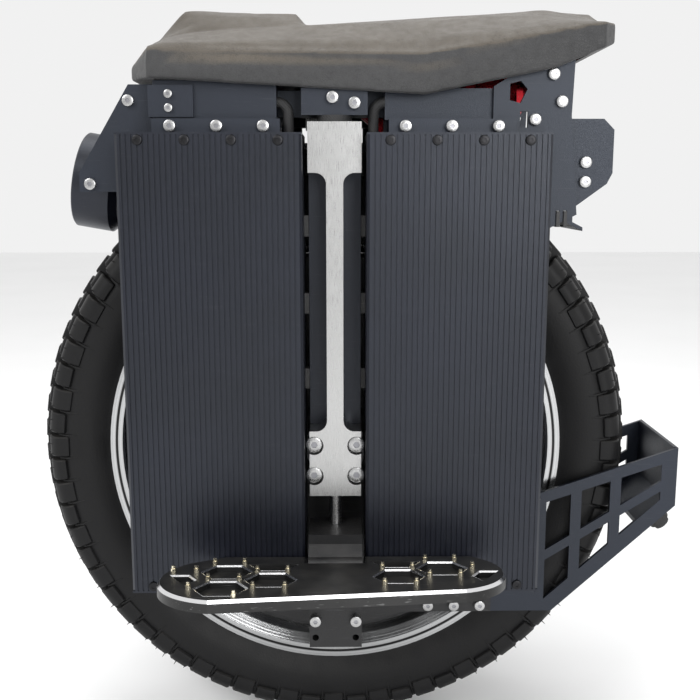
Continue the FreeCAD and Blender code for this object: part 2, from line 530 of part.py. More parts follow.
def make_stand():
    stand = new_body("rear_stand")
    inner = "stand_face - stand_wall"
    side_pads(stand, lambda sketch: outline(sketch, [
        ("stand_arm_front", "stand_arm_top"), ("stand_arm_front", "stand_heel_z"), ("stand_heel", "stand_heel_z"),
        ("stand_rear", "stand_rear_low"), ("stand_rear", "stand_rear_top"), ("stand_front", "stand_front_top"),
        ("stand_front", "stand_arm_top")]), inner, "stand_face")
    side_holes(stand, draw_stand_windows, "stand_face", "stand_wall")
    side_holes(stand, rings(STAND_SCREWS, "screw_r + screw_gap"), "stand_face", "stand_wall")
    side_pads(stand, lambda sketch: box_outline(
        sketch, "stand_front", "stand_arm_top + 4", "stand_front + stand_wall", "stand_front_top"),
        inner, "stand_face + stand_flange")
    side_pads(stand, lambda sketch: outline(sketch, [
        ("stand_rear - stand_wall", "stand_rear_low"), ("stand_rear", "stand_rear_low"),
        ("stand_rear", "stand_rear_top"), ("stand_rear - stand_wall", "stand_rear_top")]),
        minus(inner), inner, ("left",))
    lip = "stand_rear - stand_lip"
    side_pads(stand, lambda sketch: outline(sketch, [
        (lip, stand_low(lip, "0")), ("stand_rear", "stand_rear_low"),
        ("stand_rear", "stand_rear_low + stand_wall * 1.4"), (lip, stand_low(lip, "stand_wall * 1.4"))]),
        minus(inner), inner, ("left",))

    middle = "stand_rear - stand_lip / 2"
    feet = new_body("stand_feet", x=middle, z=f"({stand_low(middle, '0')})", axis=FreeCAD.Vector(0, 1, 0),
                    angle=f"-atan({HEEL_SLOPE})")
    pads = [("0", "-foot_pad_y"), ("0", "foot_pad_y")]
    upright(feet, "Pad", rings(pads, "foot_pad_r"), "-foot_pad_h * 0.7", "0")
    upright(feet, "Pad", rings(pads, "foot_pad_r * 0.75"), "-foot_pad_h", "-foot_pad_h * 0.7")


# Pedals

CELLS = [
    ("-cell_x", "cell_front_u"), ("-cell_x", "cell_front_u + cell_r * sqrt(3)"),
    ("-cell_x + cell_r * 1.5", "cell_front_u + cell_r * sqrt(3) / 2"),
    ("cell_x", "cell_rear_u"), ("cell_x - cell_r * 1.5", "cell_rear_u + cell_r * sqrt(3) / 2"),
]
# Cut-off cells at the honeycomb's border: centre, corner to start from, radius
HALF_CELLS = [
    ("-cell_x + cell_r * 1.5", "cell_front_u - cell_r * sqrt(3) / 2", 0, "cell_pocket_r"),
    ("-cell_x - cell_r * 1.5", "cell_front_u + cell_r * sqrt(3) / 2", 4, "side_cell_r"),
    ("cell_x - cell_r * 1.5", "cell_rear_u - cell_r * sqrt(3) / 2", 0, "cell_pocket_r"),
    ("cell_x + cell_r * 1.5", "cell_rear_u + cell_r * sqrt(3) / 2", 2, "side_cell_r"),
]
# Honeycomb corners, by cell and corner, that carry no stud, and the stud that stands apart
BARE_CORNERS = [(1, 2), (2, 0), (4, 3)]
LONE_STUD = ("-cell_x - cell_r * 1.75", "cell_front_u")


def cell_corner(cell, index, radius):
    return (f"{cell[0]} + {radius} * cos({index * 60})", f"{cell[1]} + {radius} * sin({index * 60})")


def stud_places():
    """The corners of the honeycomb, each one once."""
    places = [LONE_STUD]
    taken = []
    for order, cell in enumerate(CELLS):
        for index in range(6):
            if (order, index) in BARE_CORNERS:
                continue
            place = cell_corner(cell, index, "cell_r")
            point = (number(place[0]), number(place[1]))
            if all(math.dist(point, other) > number("stud_r") for other in taken):
                places.append(place)
                taken.append(point)
    return places


def make_pedals():
    for side in SIDES:
        sign = "-1" if side == "left" else "1"
        place = {"y": f"{sign} * hinge_y", "z": "hinge_z", "axis": FreeCAD.Vector(1, 0, 0),
                 "angle": f"{sign} * pedal_tilt"}

        def draw_plate(sketch):
            turn = "" if side == "right" else "-"
            points = [
                ("pedal_front", "pedal_in"), ("-pedal_notch / 2", "pedal_in"), ("-pedal_notch / 2", "pedal_notch_out"),
                ("pedal_notch / 2", "pedal_notch_out"), ("pedal_notch / 2", "pedal_in"), ("pedal_rear", "pedal_in"),
                ("pedal_rear_corner", "pedal_rear_step", turn + "pedal_rear_round"),
                ("pedal_out_rear_x", "pedal_out_rear"),
                ("pedal_front", "pedal_out_front", turn + "pedal_front_round"),
                ("pedal_front_corner", "pedal_front_step"),
            ]
            outline(sketch, [(x, f"{sign} * ({u})", *arc) for x, u, *arc in points])

        plate = new_body(f"pedal_plate_{side}", **place)
        shoulder = "pedal_top - pedal_chamfer"
        upright(plate, "Pad", draw_plate, "pedal_top - pedal_edge_wall", shoulder)
        edge = new_sketch(plate, "XY_Plane", shoulder)
        draw_plate(edge)
        bind(extrude(plate, "Pad", edge, "pedal_chamfer"), "TaperAngle", "pedal_edge_lean")

        def draw_knuckles(sketch):
            near, far = f"{sign} * pedal_in", f"{sign} * knuckle_out"
            box_outline(sketch, "-knuckle_half", near, "-pedal_notch / 2", far)
            box_outline(sketch, "pedal_notch / 2", near, "knuckle_half", far)

        upright(plate, "Pad", draw_knuckles, "pedal_top - pedal_wall", "pedal_top - pedal_edge_wall")
        across(plate, "Pocket", rings([("0", "0")], "hinge_pin_r + run_gap"), "hinge_pin_half + 0.5")
        cells = new_sketch(plate, "XY_Plane", "pedal_top")
        for cell in CELLS:
            corners = [cell_corner(cell, index, "cell_pocket_r") for index in range(6)]
            outline(cells, [(x, f"{sign} * ({u})") for x, u in corners])
        for x, u, first, radius in HALF_CELLS:
            corners = [cell_corner((x, u), first + index, radius) for index in range(4)]
            outline(cells, [(x, f"{sign} * ({u})") for x, u in corners])
        extrude(plate, "Pocket", cells, "cell_deep")
        seats = [(x, f"{sign} * ({u})") for x, u in stud_places()]
        upright(plate, "Pocket", rings(seats, "stud_r + run_gap"), "pedal_top - stud_seat", "pedal_top")

        studs = new_body(f"pedal_studs_{side}", **place)
        upright(studs, "Pad", rings(seats, "stud_r"), "pedal_top - stud_seat + run_gap", "pedal_top + stud_h * 0.6")
        upright(studs, "Pad", rings(seats, "stud_r * 0.7"), "pedal_top + stud_h * 0.6", "pedal_top + stud_h")


# Battery boxes

BOXES = [(end, side) for end in ("front", "rear") for side in SIDES]


def box_corners(place, inset):
    """The four outer corners of a box in plan, drawn in from its faces."""
    end, side = place
    sign_x = "-1" if end == "front" else "1"
    sign_y = "-1" if side == "left" else "1"
    xs = [f"{sign_x} * (box_in + {inset})", f"{sign_x} * (box_out - ({inset}))"]
    ys = [f"{sign_y} * (box_near + {inset})", f"{sign_y} * (box_far - ({inset}))"]
    return xs[0], ys[0], xs[1], ys[1]


def box_screw_places(z):
    places = []
    for sign in ("-1", "1"):
        places += [(f"{sign} * (box_in + box_screw_in + {index} * box_screw_step)", z) for index in range(4)]
    return places


BOX_SCREWS = box_screw_places("box_top - cap_lip - cap_plug / 2") + box_screw_places("box_low + cap_lip + cap_plug / 2")


def make_boxes():
    for place in BOXES:
        end, side = place
        cover = new_body(f"battery_cover_{end}_{side}")
        low, high = "box_low + cap_lip", "box_top - cap_lip"
        sketch = new_sketch(cover, "XY_Plane", low)
        box_outline(sketch, *box_corners(place, "0"))
        box_outline(sketch, *box_corners(place, "box_wall"))
        extrude(cover, "Pad", sketch, f"{high} - ({low})")
        sign_x = "-1" if end == "front" else "1"
        sign_y = "-1" if side == "left" else "1"
        groove = new_sketch(cover, "XY_Plane", high)
        start = f"{sign_x} * (box_in + rib_margin)"
        box_outline(groove, start, f"{sign_y} * (box_far - rib_deep)", f"{start} + {sign_x} * rib_groove",
                    f"{sign_y} * (box_far + 1)")
        cut = extrude(cover, "Pocket", groove, f"{high} - ({low})")
        doc.recompute()
        pattern = cover.newObject("PartDesign::LinearPattern", cover.Name + "_ribs")
        pattern.Originals = [cut]
        pattern.Direction = (groove, ["H_Axis"])
        pattern.Reversed = end == "front"
        count = "floor((box_out - box_in - 2 * rib_margin) / rib_pitch)"
        bind(pattern, "Length", f"rib_pitch * {count}")
        bind(pattern, "Occurrences", f"{count} + 1")
        cover.Tip = pattern
        mine = [point for point in BOX_SCREWS if (number(point[0]) < 0) == (end == "front")]
        side_holes(cover, rings(mine, "box_screw_r + screw_gap"), "box_far", "box_wall + 1", (side,))
        side_holes(cover, rings(mine, "box_screw_head_r + screw_gap"), "box_far", "box_sink", (side,))
        ends = (number("box_in"), number("box_out"))
        face = number("box_far")
        chamfer(cover, "box_chamfer", lambda edge: (
            edge.BoundBox.ZLength > face and abs(edge.CenterOfMass.y) > face - 0.01
            and min(abs(abs(edge.CenterOfMass.x) - x) for x in ends) < 0.01))

    packs = new_body("battery_packs")

    def draw_packs(inset):
        def draw(sketch):
            for place in BOXES:
                box_outline(sketch, *box_corners(place, inset))
        return draw

    upright(packs, "Pad", draw_packs("box_wall + pack_gap"), "box_low + cap_lip + cap_plug",
            "box_top - cap_lip - cap_plug")

    caps = new_body("box_end_caps")
    upright(caps, "Pad", draw_packs("0"), "box_top - cap_lip", "box_top")
    upright(caps, "Pad", draw_packs("box_wall + cap_gap"), "box_top - cap_lip - cap_plug", "box_top - cap_lip")
    upright(caps, "Pad", draw_packs("0"), "box_low", "box_low + cap_lip")
    upright(caps, "Pad", draw_packs("box_wall + cap_gap"), "box_low + cap_lip", "box_low + cap_lip + cap_plug")
    side_holes(caps, rings(BOX_SCREWS, "box_screw_r + screw_gap"), "box_far", "box_screw_grip + 1")

    fasteners = new_body("box_screws")
    screws(fasteners, BOX_SCREWS, "box_far - box_sink", "box_screw_head", "box_screw_head_r", "box_screw_r",
           "box_screw_grip - box_sink")

    glides = new_body("guide_blocks")

    def draw_glides(sketch):
        for index in range(int(number("glide_count"))):
            low = along("glide_low", "glide_step", index)
            box_outline(sketch, "bar_w / 2 + glide_gap", low, "box_in", f"{low} + glide_h")
            box_outline(sketch, "-box_in", low, "-bar_w / 2 - glide_gap", f"{low} + glide_h")

    side_pads(glides, draw_glides, "rail_near", "rail_near + glide_w")


# Upper chassis

STRIP_SCREWS = [(f"{sign} * (strip_screw_in + {index} * strip_screw_step)", "strip_screw_z")
                for sign in ("-1", "1") for index in range(3)]
HEAD_SCREWS = [("-1.5", "head_top - 7"), ("head_half * 0.6", "head_low + 8.5")]
BRACKET_SCREWS = [("bracket_rear - 18", "bracket_top - 6.5"), ("bracket_rear - 18", "bracket_low + 6.5")]
LAMP_TUBE = ("lamp_x + lamp_pivot * cos(lamp_tilt)", "lamp_z - lamp_pivot * sin(lamp_tilt)")
TOP_TUBE = ("top_tube_x", "top_tube_z")
SHOCK_TURN = "asin(travel / (2 * roller_arm))"
EYE_X = f"pivot_x + shock_arm * sin({SHOCK_TURN} - shock_tilt * 1deg)"
EYE_Z = f"pivot_z + shock_arm * cos({SHOCK_TURN} - shock_tilt * 1deg)"
EYE_RISE = f"shock_arm * (1 - cos({SHOCK_TURN})) / 2"
AXIS_X = f"({EYE_X}) - ({EYE_RISE}) * sin(shock_tilt)"
AXIS_Z = f"({EYE_Z}) + ({EYE_RISE}) * cos(shock_tilt)"
SHOCK_TUBE = (f"({AXIS_X}) + shock_length * cos(shock_tilt)", f"({AXIS_Z}) + shock_length * sin(shock_tilt)")
REAR_SCREWS = [("rplate_waist - 8", "rplate_waist_z + 10"), ("rplate_peak - 1", "rplate_waist_z - 3")]
TAIL_SCREWS = [("tail_x + tail_depth / 2", along("tail_screw_z", "tail_screw_step", -index)) for index in (0, 1)]


def make_upper():
    strips = new_body("mounting_strips")
    side_pads(strips, lambda sketch: (
        box_outline(sketch, "-strip_out", "box_top", "-strip_in", "case_low"),
        box_outline(sketch, "strip_in", "box_top", "strip_out", "case_low")), "strip_near", "strip_far")
    side_holes(strips, rings(STRIP_SCREWS, "screw_r + screw_gap"), "strip_far", "screw_grip + 1")

    heads = new_body("head_blocks")
    side_pads(heads, lambda sketch: box_outline(sketch, "-head_half", "head_low", "head_half", "head_top"),
              "head_in", "head_out")
    side_pads(heads, lambda sketch: box_outline(sketch, "case_rear", "head_low", "rail_front", "head_top"),
              "rail_in", "head_in")
    side_holes(heads, rings(HEAD_SCREWS, "screw_r + screw_gap"), "head_out", "screw_grip + 1")

    stops = new_body("bump_stops")
    centres = [("0", "-bump_y"), ("0", "bump_y")]
    upright(stops, "Pad", rings(centres, "bump_r"), "bridge_top + bump_gap", "head_low")
    upright(stops, "Pocket", rings(centres, "bump_hole_r"), "bridge_top + bump_gap", "head_low")

    rails = new_body("rear_rails")
    for sign in ("-1", "1"):
        sketch = new_sketch(rails, "YZ_Plane", "rail_front")
        section = [("rail_in", "box_top + plate_gap"), ("strip_near - plate_gap", "box_top + plate_gap"),
                   ("strip_near - plate_gap", "case_low"), ("rail_out", "case_low"), ("rail_out", "rail_top"),
                   ("rail_in", "rail_top")]
        outline(sketch, [(f"{sign} * ({y})", z) for y, z in section])
        extrude(rails, "Pad", sketch, "rail_rear - rail_front")
    side_holes(rails, rings([("pivot_x", "pivot_z")], "shaft_r + run_gap"), "strip_near", "strip_near - rail_in + 1")

    shaft = new_body("rocker_shaft")
    side_pads(shaft, rings([("pivot_x", "pivot_z")], "shaft_r"), minus("strip_near - plate_gap"),
              "strip_near - plate_gap", ("left",))

    case = new_body("controller_case")
    half = "case_half"
    upright(case, "Pad", lambda sketch: box_outline(sketch, "case_front", minus(half), "case_rear", half),
            "case_low", "case_top")
    upright(case, "Pocket", lambda sketch: box_outline(
        sketch, "case_front + case_wall", "-case_half + case_wall", "case_rear - case_wall", "case_half - case_wall"),
        "case_low + case_wall", "case_top")
    side_holes(case, rings(BRACKET_SCREWS, "bracket_screw_r + screw_gap"), "case_half", "case_wall + 1")
    side_holes(case, rings([("button_x", "button_z")], "button_r + button_gap"), "case_half", "case_wall + 1",
               ("right",))
    side_holes(case, rings([("port_x", "port_z")], "port_bore_r + 0.2"), "case_half", "case_wall + 1", ("right",))

    board = new_body("controller_board")
    floor = "case_low + case_wall"
    edge = "(case_wall + board_gap)"
    posts = [(x, y) for x in (f"case_front + {edge} + 6", f"case_rear - {edge} - 6")
             for y in (f"-case_half + {edge} + 6", f"case_half - {edge} - 6")]
    upright(board, "Pad", rings(posts, "board_post_r"), floor, f"{floor} + board_post")
    upright(board, "Pad", lambda sketch: box_outline(
        sketch, f"case_front + {edge}", f"-case_half + {edge}", f"case_rear - {edge}", f"case_half - {edge}"),
        f"{floor} + board_post", f"{floor} + board_post + board_wall")
    capacitors = [("(case_front + case_rear) / 2", along("0", "board_cap_r * 2.6", index)) for index in range(-2, 3)]
    upright(board, "Pad", rings(capacitors, "board_cap_r"), f"{floor} + board_post + board_wall",
            f"{floor} + board_post + board_wall + board_cap_h")


def make_front_plates():
    plates = new_body("front_side_plates")
    web = "case_front - plate_gap / 4"
    side_pads(plates, lambda sketch: (outline(sketch, [
        ("fplate_tip_x", "fplate_tip_z"), ("fplate_nose_x", "fplate_nose_z"), ("fplate_nose_x", "fplate_low"),
        ("-box_out - plate_gap", "fplate_low"), ("-box_out - plate_gap", "box_top + plate_gap"),
        (web, "box_top + plate_gap"), (web, "fplate_tip_z")]),
        ring(sketch, *LAMP_TUBE, "screw_r + screw_gap"), ring(sketch, *TOP_TUBE, "screw_r + screw_gap")),
        "fplate_near", "fplate_near + fplate_wall")
    side_pads(plates, lambda sketch: box_outline(sketch, f"{web} - fplate_wall", "bracket_low", web, "bracket_top"),
              "fplate_near", "case_half + fplate_wall")
    side_pads(plates, lambda sketch: (
        box_outline(sketch, f"{web} - fplate_wall", "bracket_low", "bracket_rear", "bracket_top"),
        rings(BRACKET_SCREWS, "bracket_screw_r + screw_gap")(sketch)), "case_half", "case_half + fplate_wall")


def make_rear_plates():
    far = "rail_out + rplate_wall"
    window_low = "case_low + 14"
    plates = new_body("rear_side_plates")
    side_pads(plates, lambda sketch: outline(sketch, [
        ("rplate_front", "case_low + cap_gap"), ("strip_out + plate_gap", "case_low + cap_gap"),
        ("strip_out + plate_gap", "box_top + plate_gap"), ("box_out + plate_gap", "box_top + plate_gap"),
        ("box_out + plate_gap", "rplate_toe_z + 3"), ("rplate_toe", "rplate_toe_z"),
        ("rplate_tail", "rplate_tail_z"), ("rplate_waist", "rplate_waist_z"), ("rplate_rear", "rplate_rear_z"),
        ("rplate_peak", "rplate_peak_z"), ("rplate_front", "rplate_step_z")]), "rail_out", far)
    side_holes(plates, lambda sketch: (
        outline(sketch, [("rplate_front + 12", window_low), ("rplate_front + 20", f"{window_low} - 2"),
                         ("rplate_front + 25", f"{window_low} + 8"), ("rplate_front + 20", f"{window_low} + 14"),
                         ("rplate_front + 12", f"{window_low} + 12")]),
        box_outline(sketch, "strip_out + 4", "box_top + 5", "strip_out + 10", "case_low + 6"),
        ring(sketch, *SHOCK_TUBE, "screw_r + screw_gap"),
        rings(REAR_SCREWS, "screw_r + screw_gap")(sketch)), far, "rplate_wall")
    side_holes(plates, draw_tie_slots, far, "rplate_wall")

    wings = new_body("rear_wings")
    side_pads(wings, lambda sketch: (outline(sketch, [
        ("box_out + plate_gap", "wing_top - 6"), ("box_out + plate_gap", "wing_low"), ("rplate_tail - 3", "wing_low"),
        ("wing_rear - wing_corner / 2", "wing_slope_z"), ("wing_rear", "wing_slope_z + wing_corner"),
        ("wing_rear", "wing_top - wing_corner"), ("wing_rear - wing_corner", "wing_top"),
        ("rplate_waist", "wing_top")]), rings(TAIL_SCREWS, "screw_r + screw_gap")(sketch)),
        "rail_out - wing_wall", "rail_out")

    inner = "rail_out - wing_wall"
    housing = new_body("tail_light_housing")
    side_pads(housing, lambda sketch: box_outline(sketch, "tail_x", "tail_low", "tail_x + tail_depth", "tail_top"),
              minus(inner), inner, ("left",))
    side_holes(housing, rings(TAIL_SCREWS, "screw_r + screw_gap"), inner, "screw_grip")
    lens = new_body("tail_light_lens")
    side_pads(lens, lambda sketch: outline(sketch, [
        ("tail_x + tail_depth", "tail_low + 4"), ("tail_x + tail_depth + tail_lens_wall", "tail_low + 7"),
        ("tail_x + tail_depth + tail_lens_wall", "tail_top - 7"), ("tail_x + tail_depth", "tail_top - 4")]),
        "-tail_lens_half", "tail_lens_half", ("left",))

    tubes = new_body("cross_tubes")
    side_pads(tubes, rings([LAMP_TUBE, TOP_TUBE], "tube_r"), "-fplate_near", "fplate_near", ("left",))
    side_pads(tubes, rings([SHOCK_TUBE], "tube_r"), "-rail_out", "rail_out", ("left",))
    side_holes(tubes, rings([LAMP_TUBE, TOP_TUBE], "screw_r + screw_gap"), "fplate_near", "screw_grip")
    side_holes(tubes, rings([SHOCK_TUBE], "screw_r + screw_gap"), "rail_out", "screw_grip")

    fasteners = new_body("chassis_screws")
    sizes = ("screw_head", "screw_head_r", "screw_r")
    screws(fasteners, STRIP_SCREWS, "strip_far", *sizes, "screw_grip")
    screws(fasteners, HEAD_SCREWS, "head_out", *sizes, "screw_grip")
    screws(fasteners, BRACKET_SCREWS, "case_half + fplate_wall", "bracket_head", "bracket_head_r", "bracket_screw_r",
           "fplate_wall + case_wall")
    screws(fasteners, [LAMP_TUBE, TOP_TUBE], "fplate_near + fplate_wall", "screw_head * 0.6", *sizes[1:], "screw_grip")
    screws(fasteners, [SHOCK_TUBE] + REAR_SCREWS, far, "screw_head * 0.6", *sizes[1:], "rplate_wall")
    screws(fasteners, TAIL_SCREWS, "rail_out", "screw_head * 0.6", *sizes[1:], "wing_wall + screw_grip * 0.8")


def make_lights():
    place = {"x": "lamp_x", "z": "lamp_z", "axis": FreeCAD.Vector(0, 1, 0), "angle": "lamp_tilt"}
    lamp = new_body("headlight_body", **place)
    sketch = new_sketch(lamp, "XZ_Plane")
    inside = "lamp_r - lamp_wall"
    outline(sketch, [("lamp_rear", "0"), ("lamp_rear", "lamp_r - 6"), ("lamp_rear - 6", "lamp_r"),
                     ("lamp_front + 1", "lamp_r"), ("lamp_front", "lamp_r - 1"), ("lamp_front", inside),
                     ("lamp_rear - 6 - lamp_wall", inside), ("lamp_rear - lamp_wall", f"{inside} - 6"),
                     ("lamp_rear - lamp_wall", "0")])
    revolve(lamp, sketch)
    side_holes(lamp, rings([("lamp_pivot", "0")], "tube_r + screw_gap"), "lamp_r + 1", "2 * lamp_r + 2", ("left",))

    lens = new_body("headlight_lens", **place)
    sketch = new_sketch(lens, "YZ_Plane", "lamp_front + lens_inset")
    ring(sketch, "0", "0", f"{inside} - screw_gap")
    extrude(lens, "Pad", sketch, "lens_wall")

    reflector = new_body("headlight_reflector", **place)
    sketch = new_sketch(reflector, "XZ_Plane")
    front = "lamp_front + lens_inset + lens_wall + screw_gap"
    outline(sketch, [(front, f"{inside} - screw_gap"), (front, f"{inside} - screw_gap - reflector_wall"),
                     (f"{front} + reflector_deep - reflector_wall", "reflector_r"),
                     (f"{front} + reflector_deep - reflector_wall", "0"), (f"{front} + reflector_deep", "0"),
                     (f"{front} + reflector_deep", "reflector_r + reflector_wall"),
                     (f"{front} + reflector_wall", f"{inside} - screw_gap")])
    revolve(reflector, sketch)


TIES = [along("tie_front", "tie_step", index) for index in (0, 1)]


def draw_tie_slots(sketch):
    for left in TIES:
        box_outline(sketch, f"{left} - tie_gap", "tie_z + tie_h - tie_gap", f"{left} + tie_w + tie_gap",
                    "tie_z + tie_h + tie_wall + tie_gap")


def make_guard():
    guard = new_body("splash_guard")
    slope = "tan(guard_slope)"
    thick = "guard_wall / cos(guard_slope)"
    low = f"guard_z - guard_reach * {slope}"
    side_pads(guard, lambda sketch: outline(sketch, [
        ("guard_x", f"guard_z - {thick}"), ("guard_x + guard_reach", f"{low} - {thick}"),
        ("guard_x + guard_reach", low), ("guard_x", "guard_z")]), minus("rail_out"), "rail_out", ("left",))
    side_pads(guard, lambda sketch: outline(sketch, [
        ("guard_x", f"guard_z - {thick} / 2"),
        ("guard_x + guard_ear", f"guard_z - guard_ear * {slope} - {thick} / 2"),
        ("guard_x + guard_ear", "guard_z")]), "rail_out - guard_wall", "rail_out")
    side_holes(guard, draw_tie_slots, "rail_out", "guard_wall")
    slots = new_sketch(guard, "XY_Plane", "guard_z + 1")
    for left in TIES:
        for sign in ("-1", "1"):
            box_outline(slots, f"{left} - tie_gap", f"{sign} * (tie_in + tie_gap)", f"{left} + tie_w + tie_gap",
                        f"{sign} * (tie_in - tie_wall - tie_gap)")
    extrude(guard, "Pocket", slots, "guard_reach")

    ties = new_body("cable_ties")
    far = "rail_out + rplate_wall + tie_gap"
    for left in TIES:
        for sign in ("-1", "1"):
            sketch = new_sketch(ties, "YZ_Plane", left)
            box_outline(sketch, f"{sign} * tie_in", "tie_z", f"{sign} * ({far})", "tie_z + tie_h")
            box_outline(sketch, f"{sign} * (tie_in - tie_wall)", "tie_z - tie_wall", f"{sign} * ({far} + tie_wall)",
                        "tie_z + tie_h + tie_wall")
            extrude(ties, "Pad", sketch, "tie_w")


# Leads and controls

def make_lead_wire(sign_x, sign_y):
    """The line of one battery lead: up from the box, round one bend and into the case or the rear rail."""
    wall = number("case_rear") if sign_x < 0 else number("rail_front")
    turn = number("lead_turn")
    x = wall - sign_x * turn
    y = sign_y * number("lead_y")
    low = number("box_top")
    rise = number("lead_rise")
    bend = math.sqrt(0.5)
    middle = FreeCAD.Vector(x + sign_x * turn * (1 - bend), y, low + rise + turn * bend)
    corner = FreeCAD.Vector(x, y, low + rise)
    end = FreeCAD.Vector(wall, y, low + rise + turn)
    run = Part.LineSegment(FreeCAD.Vector(x, y, low), corner).toShape()
    return Part.Wire([run, Part.Arc(corner, middle, end).toShape()])


def make_leads():
    tubes = []
    for sign_x in (-1, 1):
        for sign_y in (-1, 1):
            wire = make_lead_wire(sign_x, sign_y)
            start = wire.Vertexes[0].Point
            section = Part.Wire(Part.makeCircle(number("lead_r"), start, FreeCAD.Vector(0, 0, 1)))
            tubes.append(wire.makePipeShell([section], True, False))
    leads = doc.addObject("Part::Feature", "battery_leads")
    leads.Label = "battery_leads"
    leads.Shape = Part.makeCompound(tubes)
    bind(leads, "Placement.Base.z", "tyre_r")
    nodes.append(leads)


def make_controls():
    button = new_body("power_button")
    place = [("button_x", "button_z")]
    side_pads(button, rings(place, "button_r"), "case_half - case_wall - button_gap", "case_half + button_proud",
              ("right",))
    side_pads(button, rings(place, "button_r + 1.5"), "case_half - case_wall - button_gap - button_flange",
              "case_half - case_wall - button_gap", ("right",))

    port = new_body("charge_port")
    place = [("port_x", "port_z")]
    side_pads(port, rings(place, "port_r"), "case_half", "case_half + port_proud", ("right",))
    side_pads(port, rings(place, "port_bore_r"), "case_half - case_wall - 4", "case_half", ("right",))
    side_holes(port, rings(place, "port_bore_r - 2"), "case_half + port_proud", "port_proud + 2", ("right",))
    hinge_y = "case_half + port_proud + flap_gap + flap_wall / 2"
    side_pads(port, lambda sketch: (
        box_outline(sketch, "port_x + flap_r * 0.5 + flap_gap", "flap_hinge_z - flap_pin_r * 1.6",
                    "port_x + flap_r", "flap_hinge_z + flap_pin_r * 1.6"),
        box_outline(sketch, "port_x - flap_r", "flap_hinge_z - flap_pin_r * 1.6",
                    "port_x - flap_r * 0.5 - flap_gap", "flap_hinge_z + flap_pin_r * 1.6")),
        "case_half", f"{hinge_y} + flap_pin_r * 1.6", ("right",))
    sketch = new_sketch(port, "YZ_Plane", "port_x + flap_r + 1")
    ring(sketch, hinge_y, "flap_hinge_z", "flap_pin_r + run_gap")
    extrude(port, "Pocket", sketch, "2 * flap_r + 2")

    flap = new_body("charge_cap")
    near = "case_half + port_proud + flap_gap"
    side_pads(flap, rings(place, "flap_r"), near, f"{near} + flap_wall", ("right",))
    side_pads(flap, lambda sketch: box_outline(
        sketch, "port_x - flap_r * 0.5", "port_z", "port_x + flap_r * 0.5", "flap_hinge_z"),
        near, f"{near} + flap_wall", ("right",))
    sketch = new_sketch(flap, "YZ_Plane", "port_x - flap_r")
    ring(sketch, hinge_y, "flap_hinge_z", "flap_pin_r")
    extrude(flap, "Pad", sketch, "2 * flap_r")


# Suspension linkage

def make_linkage():
    rocker = new_body("rocker")
    side_pads(rocker, lambda sketch: (outline(sketch, [
        (f"{ROLLER_X} - rocker_edge", ROLLER_Z), (f"{ROLLER_X}", f"{ROLLER_Z} + rocker_edge"),
        (f"({EYE_X}) + rocker_edge * 0.7", f"({EYE_Z}) + rocker_edge * 0.8"),
        (f"({EYE_X}) + rocker_edge", f"({EYE_Z})"), ("pivot_x + rocker_edge", "pivot_z - rocker_edge * 0.6"),
        ("pivot_x", "pivot_z - rocker_edge * 1.1"), ("pivot_x - rocker_edge", "pivot_z - rocker_edge * 0.6")][::-1]),
        ring(sketch, "pivot_x", "pivot_z", "shaft_r + run_gap"), ring(sketch, ROLLER_X, ROLLER_Z, "link_pin_r + run_gap"),
        ring(sketch, EYE_X, EYE_Z, "link_pin_r + run_gap")), "rocker_near", "rocker_near + rocker_wall")
    side_pads(rocker, lambda sketch: (ring(sketch, "pivot_x", "pivot_z", "rocker_hub_r"),
                                      ring(sketch, "pivot_x", "pivot_z", "shaft_r + run_gap")),
              "-rocker_near", "rocker_near", ("left",))

    pins = new_body("rocker_pins")
    reach = "rocker_near + rocker_wall"
    side_pads(pins, rings([(ROLLER_X, ROLLER_Z), (EYE_X, EYE_Z)], "link_pin_r"), minus(reach), reach, ("left",))
    side_pads(pins, rings([(ROLLER_X, ROLLER_Z)], "roller_r"), "-roller_half", "roller_half", ("left",))

    place = {"x": AXIS_X, "z": f"({AXIS_Z})", "axis": FreeCAD.Vector(0, 1, 0), "angle": "-shock_tilt"}
    can = new_body("shock_can", **place)
    sketch = new_sketch(can, "XZ_Plane")
    bore = "shock_rod_r + run_gap"
    outline(sketch, [
        ("can_front", bore), ("can_front", "can_r - 6"), ("can_front + 4", "can_r - 2"),
        ("can_front + 12", "can_r - 2"), ("can_front + 14", "can_r"), ("can_rear - 8", "can_r"),
        ("can_rear - 8", "can_r - can_groove"), ("can_rear - 6", "can_r - can_groove"), ("can_rear - 6", "can_r"),
        ("can_rear", "can_r - 4"), ("can_rear", "eye_r"), ("shock_length - eye_r * 0.6", "eye_r * 0.7"),
        ("shock_length - eye_r * 0.6", "0"), ("rod_reach + 2", "0"), ("rod_reach + 2", bore)])
    revolve(can, sketch)
    side_pads(can, lambda profile: ring(profile, "shock_length", "0", "eye_r"), "-eye_w / 2", "eye_w / 2", ("left",))
    side_holes(can, lambda profile: ring(profile, "shock_length", "0", "tube_r + run_gap"), "can_r", "2 * can_r",
               ("left",))

    rod = new_body("shock_shaft", **place)
    slot_r = "link_pin_r + eye_gap"
    side_pads(rod, lambda profile: outline(profile, [
        ("eye_r", f"-eye_r - ({EYE_RISE})"), ("eye_r", f"eye_r + {EYE_RISE}"),
        ("-eye_r * 0.8", f"eye_r + {EYE_RISE}"), ("-eye_r * 0.8", f"-eye_r - ({EYE_RISE})")]),
        "-eye_w / 2", "eye_w / 2", ("left",))
    sketch = new_sketch(rod, "YZ_Plane", "eye_r - 1")
    ring(sketch, "0", "0", "shock_rod_r")
    extrude(rod, "Pad", sketch, "rod_reach - eye_r + 1")
    side_holes(rod, lambda profile: box_outline(
        profile, minus(slot_r), f"-({EYE_RISE}) - ({slot_r})", slot_r, f"{EYE_RISE} + {slot_r}"),
        "eye_w / 2", "eye_w", ("left",))


# Seat

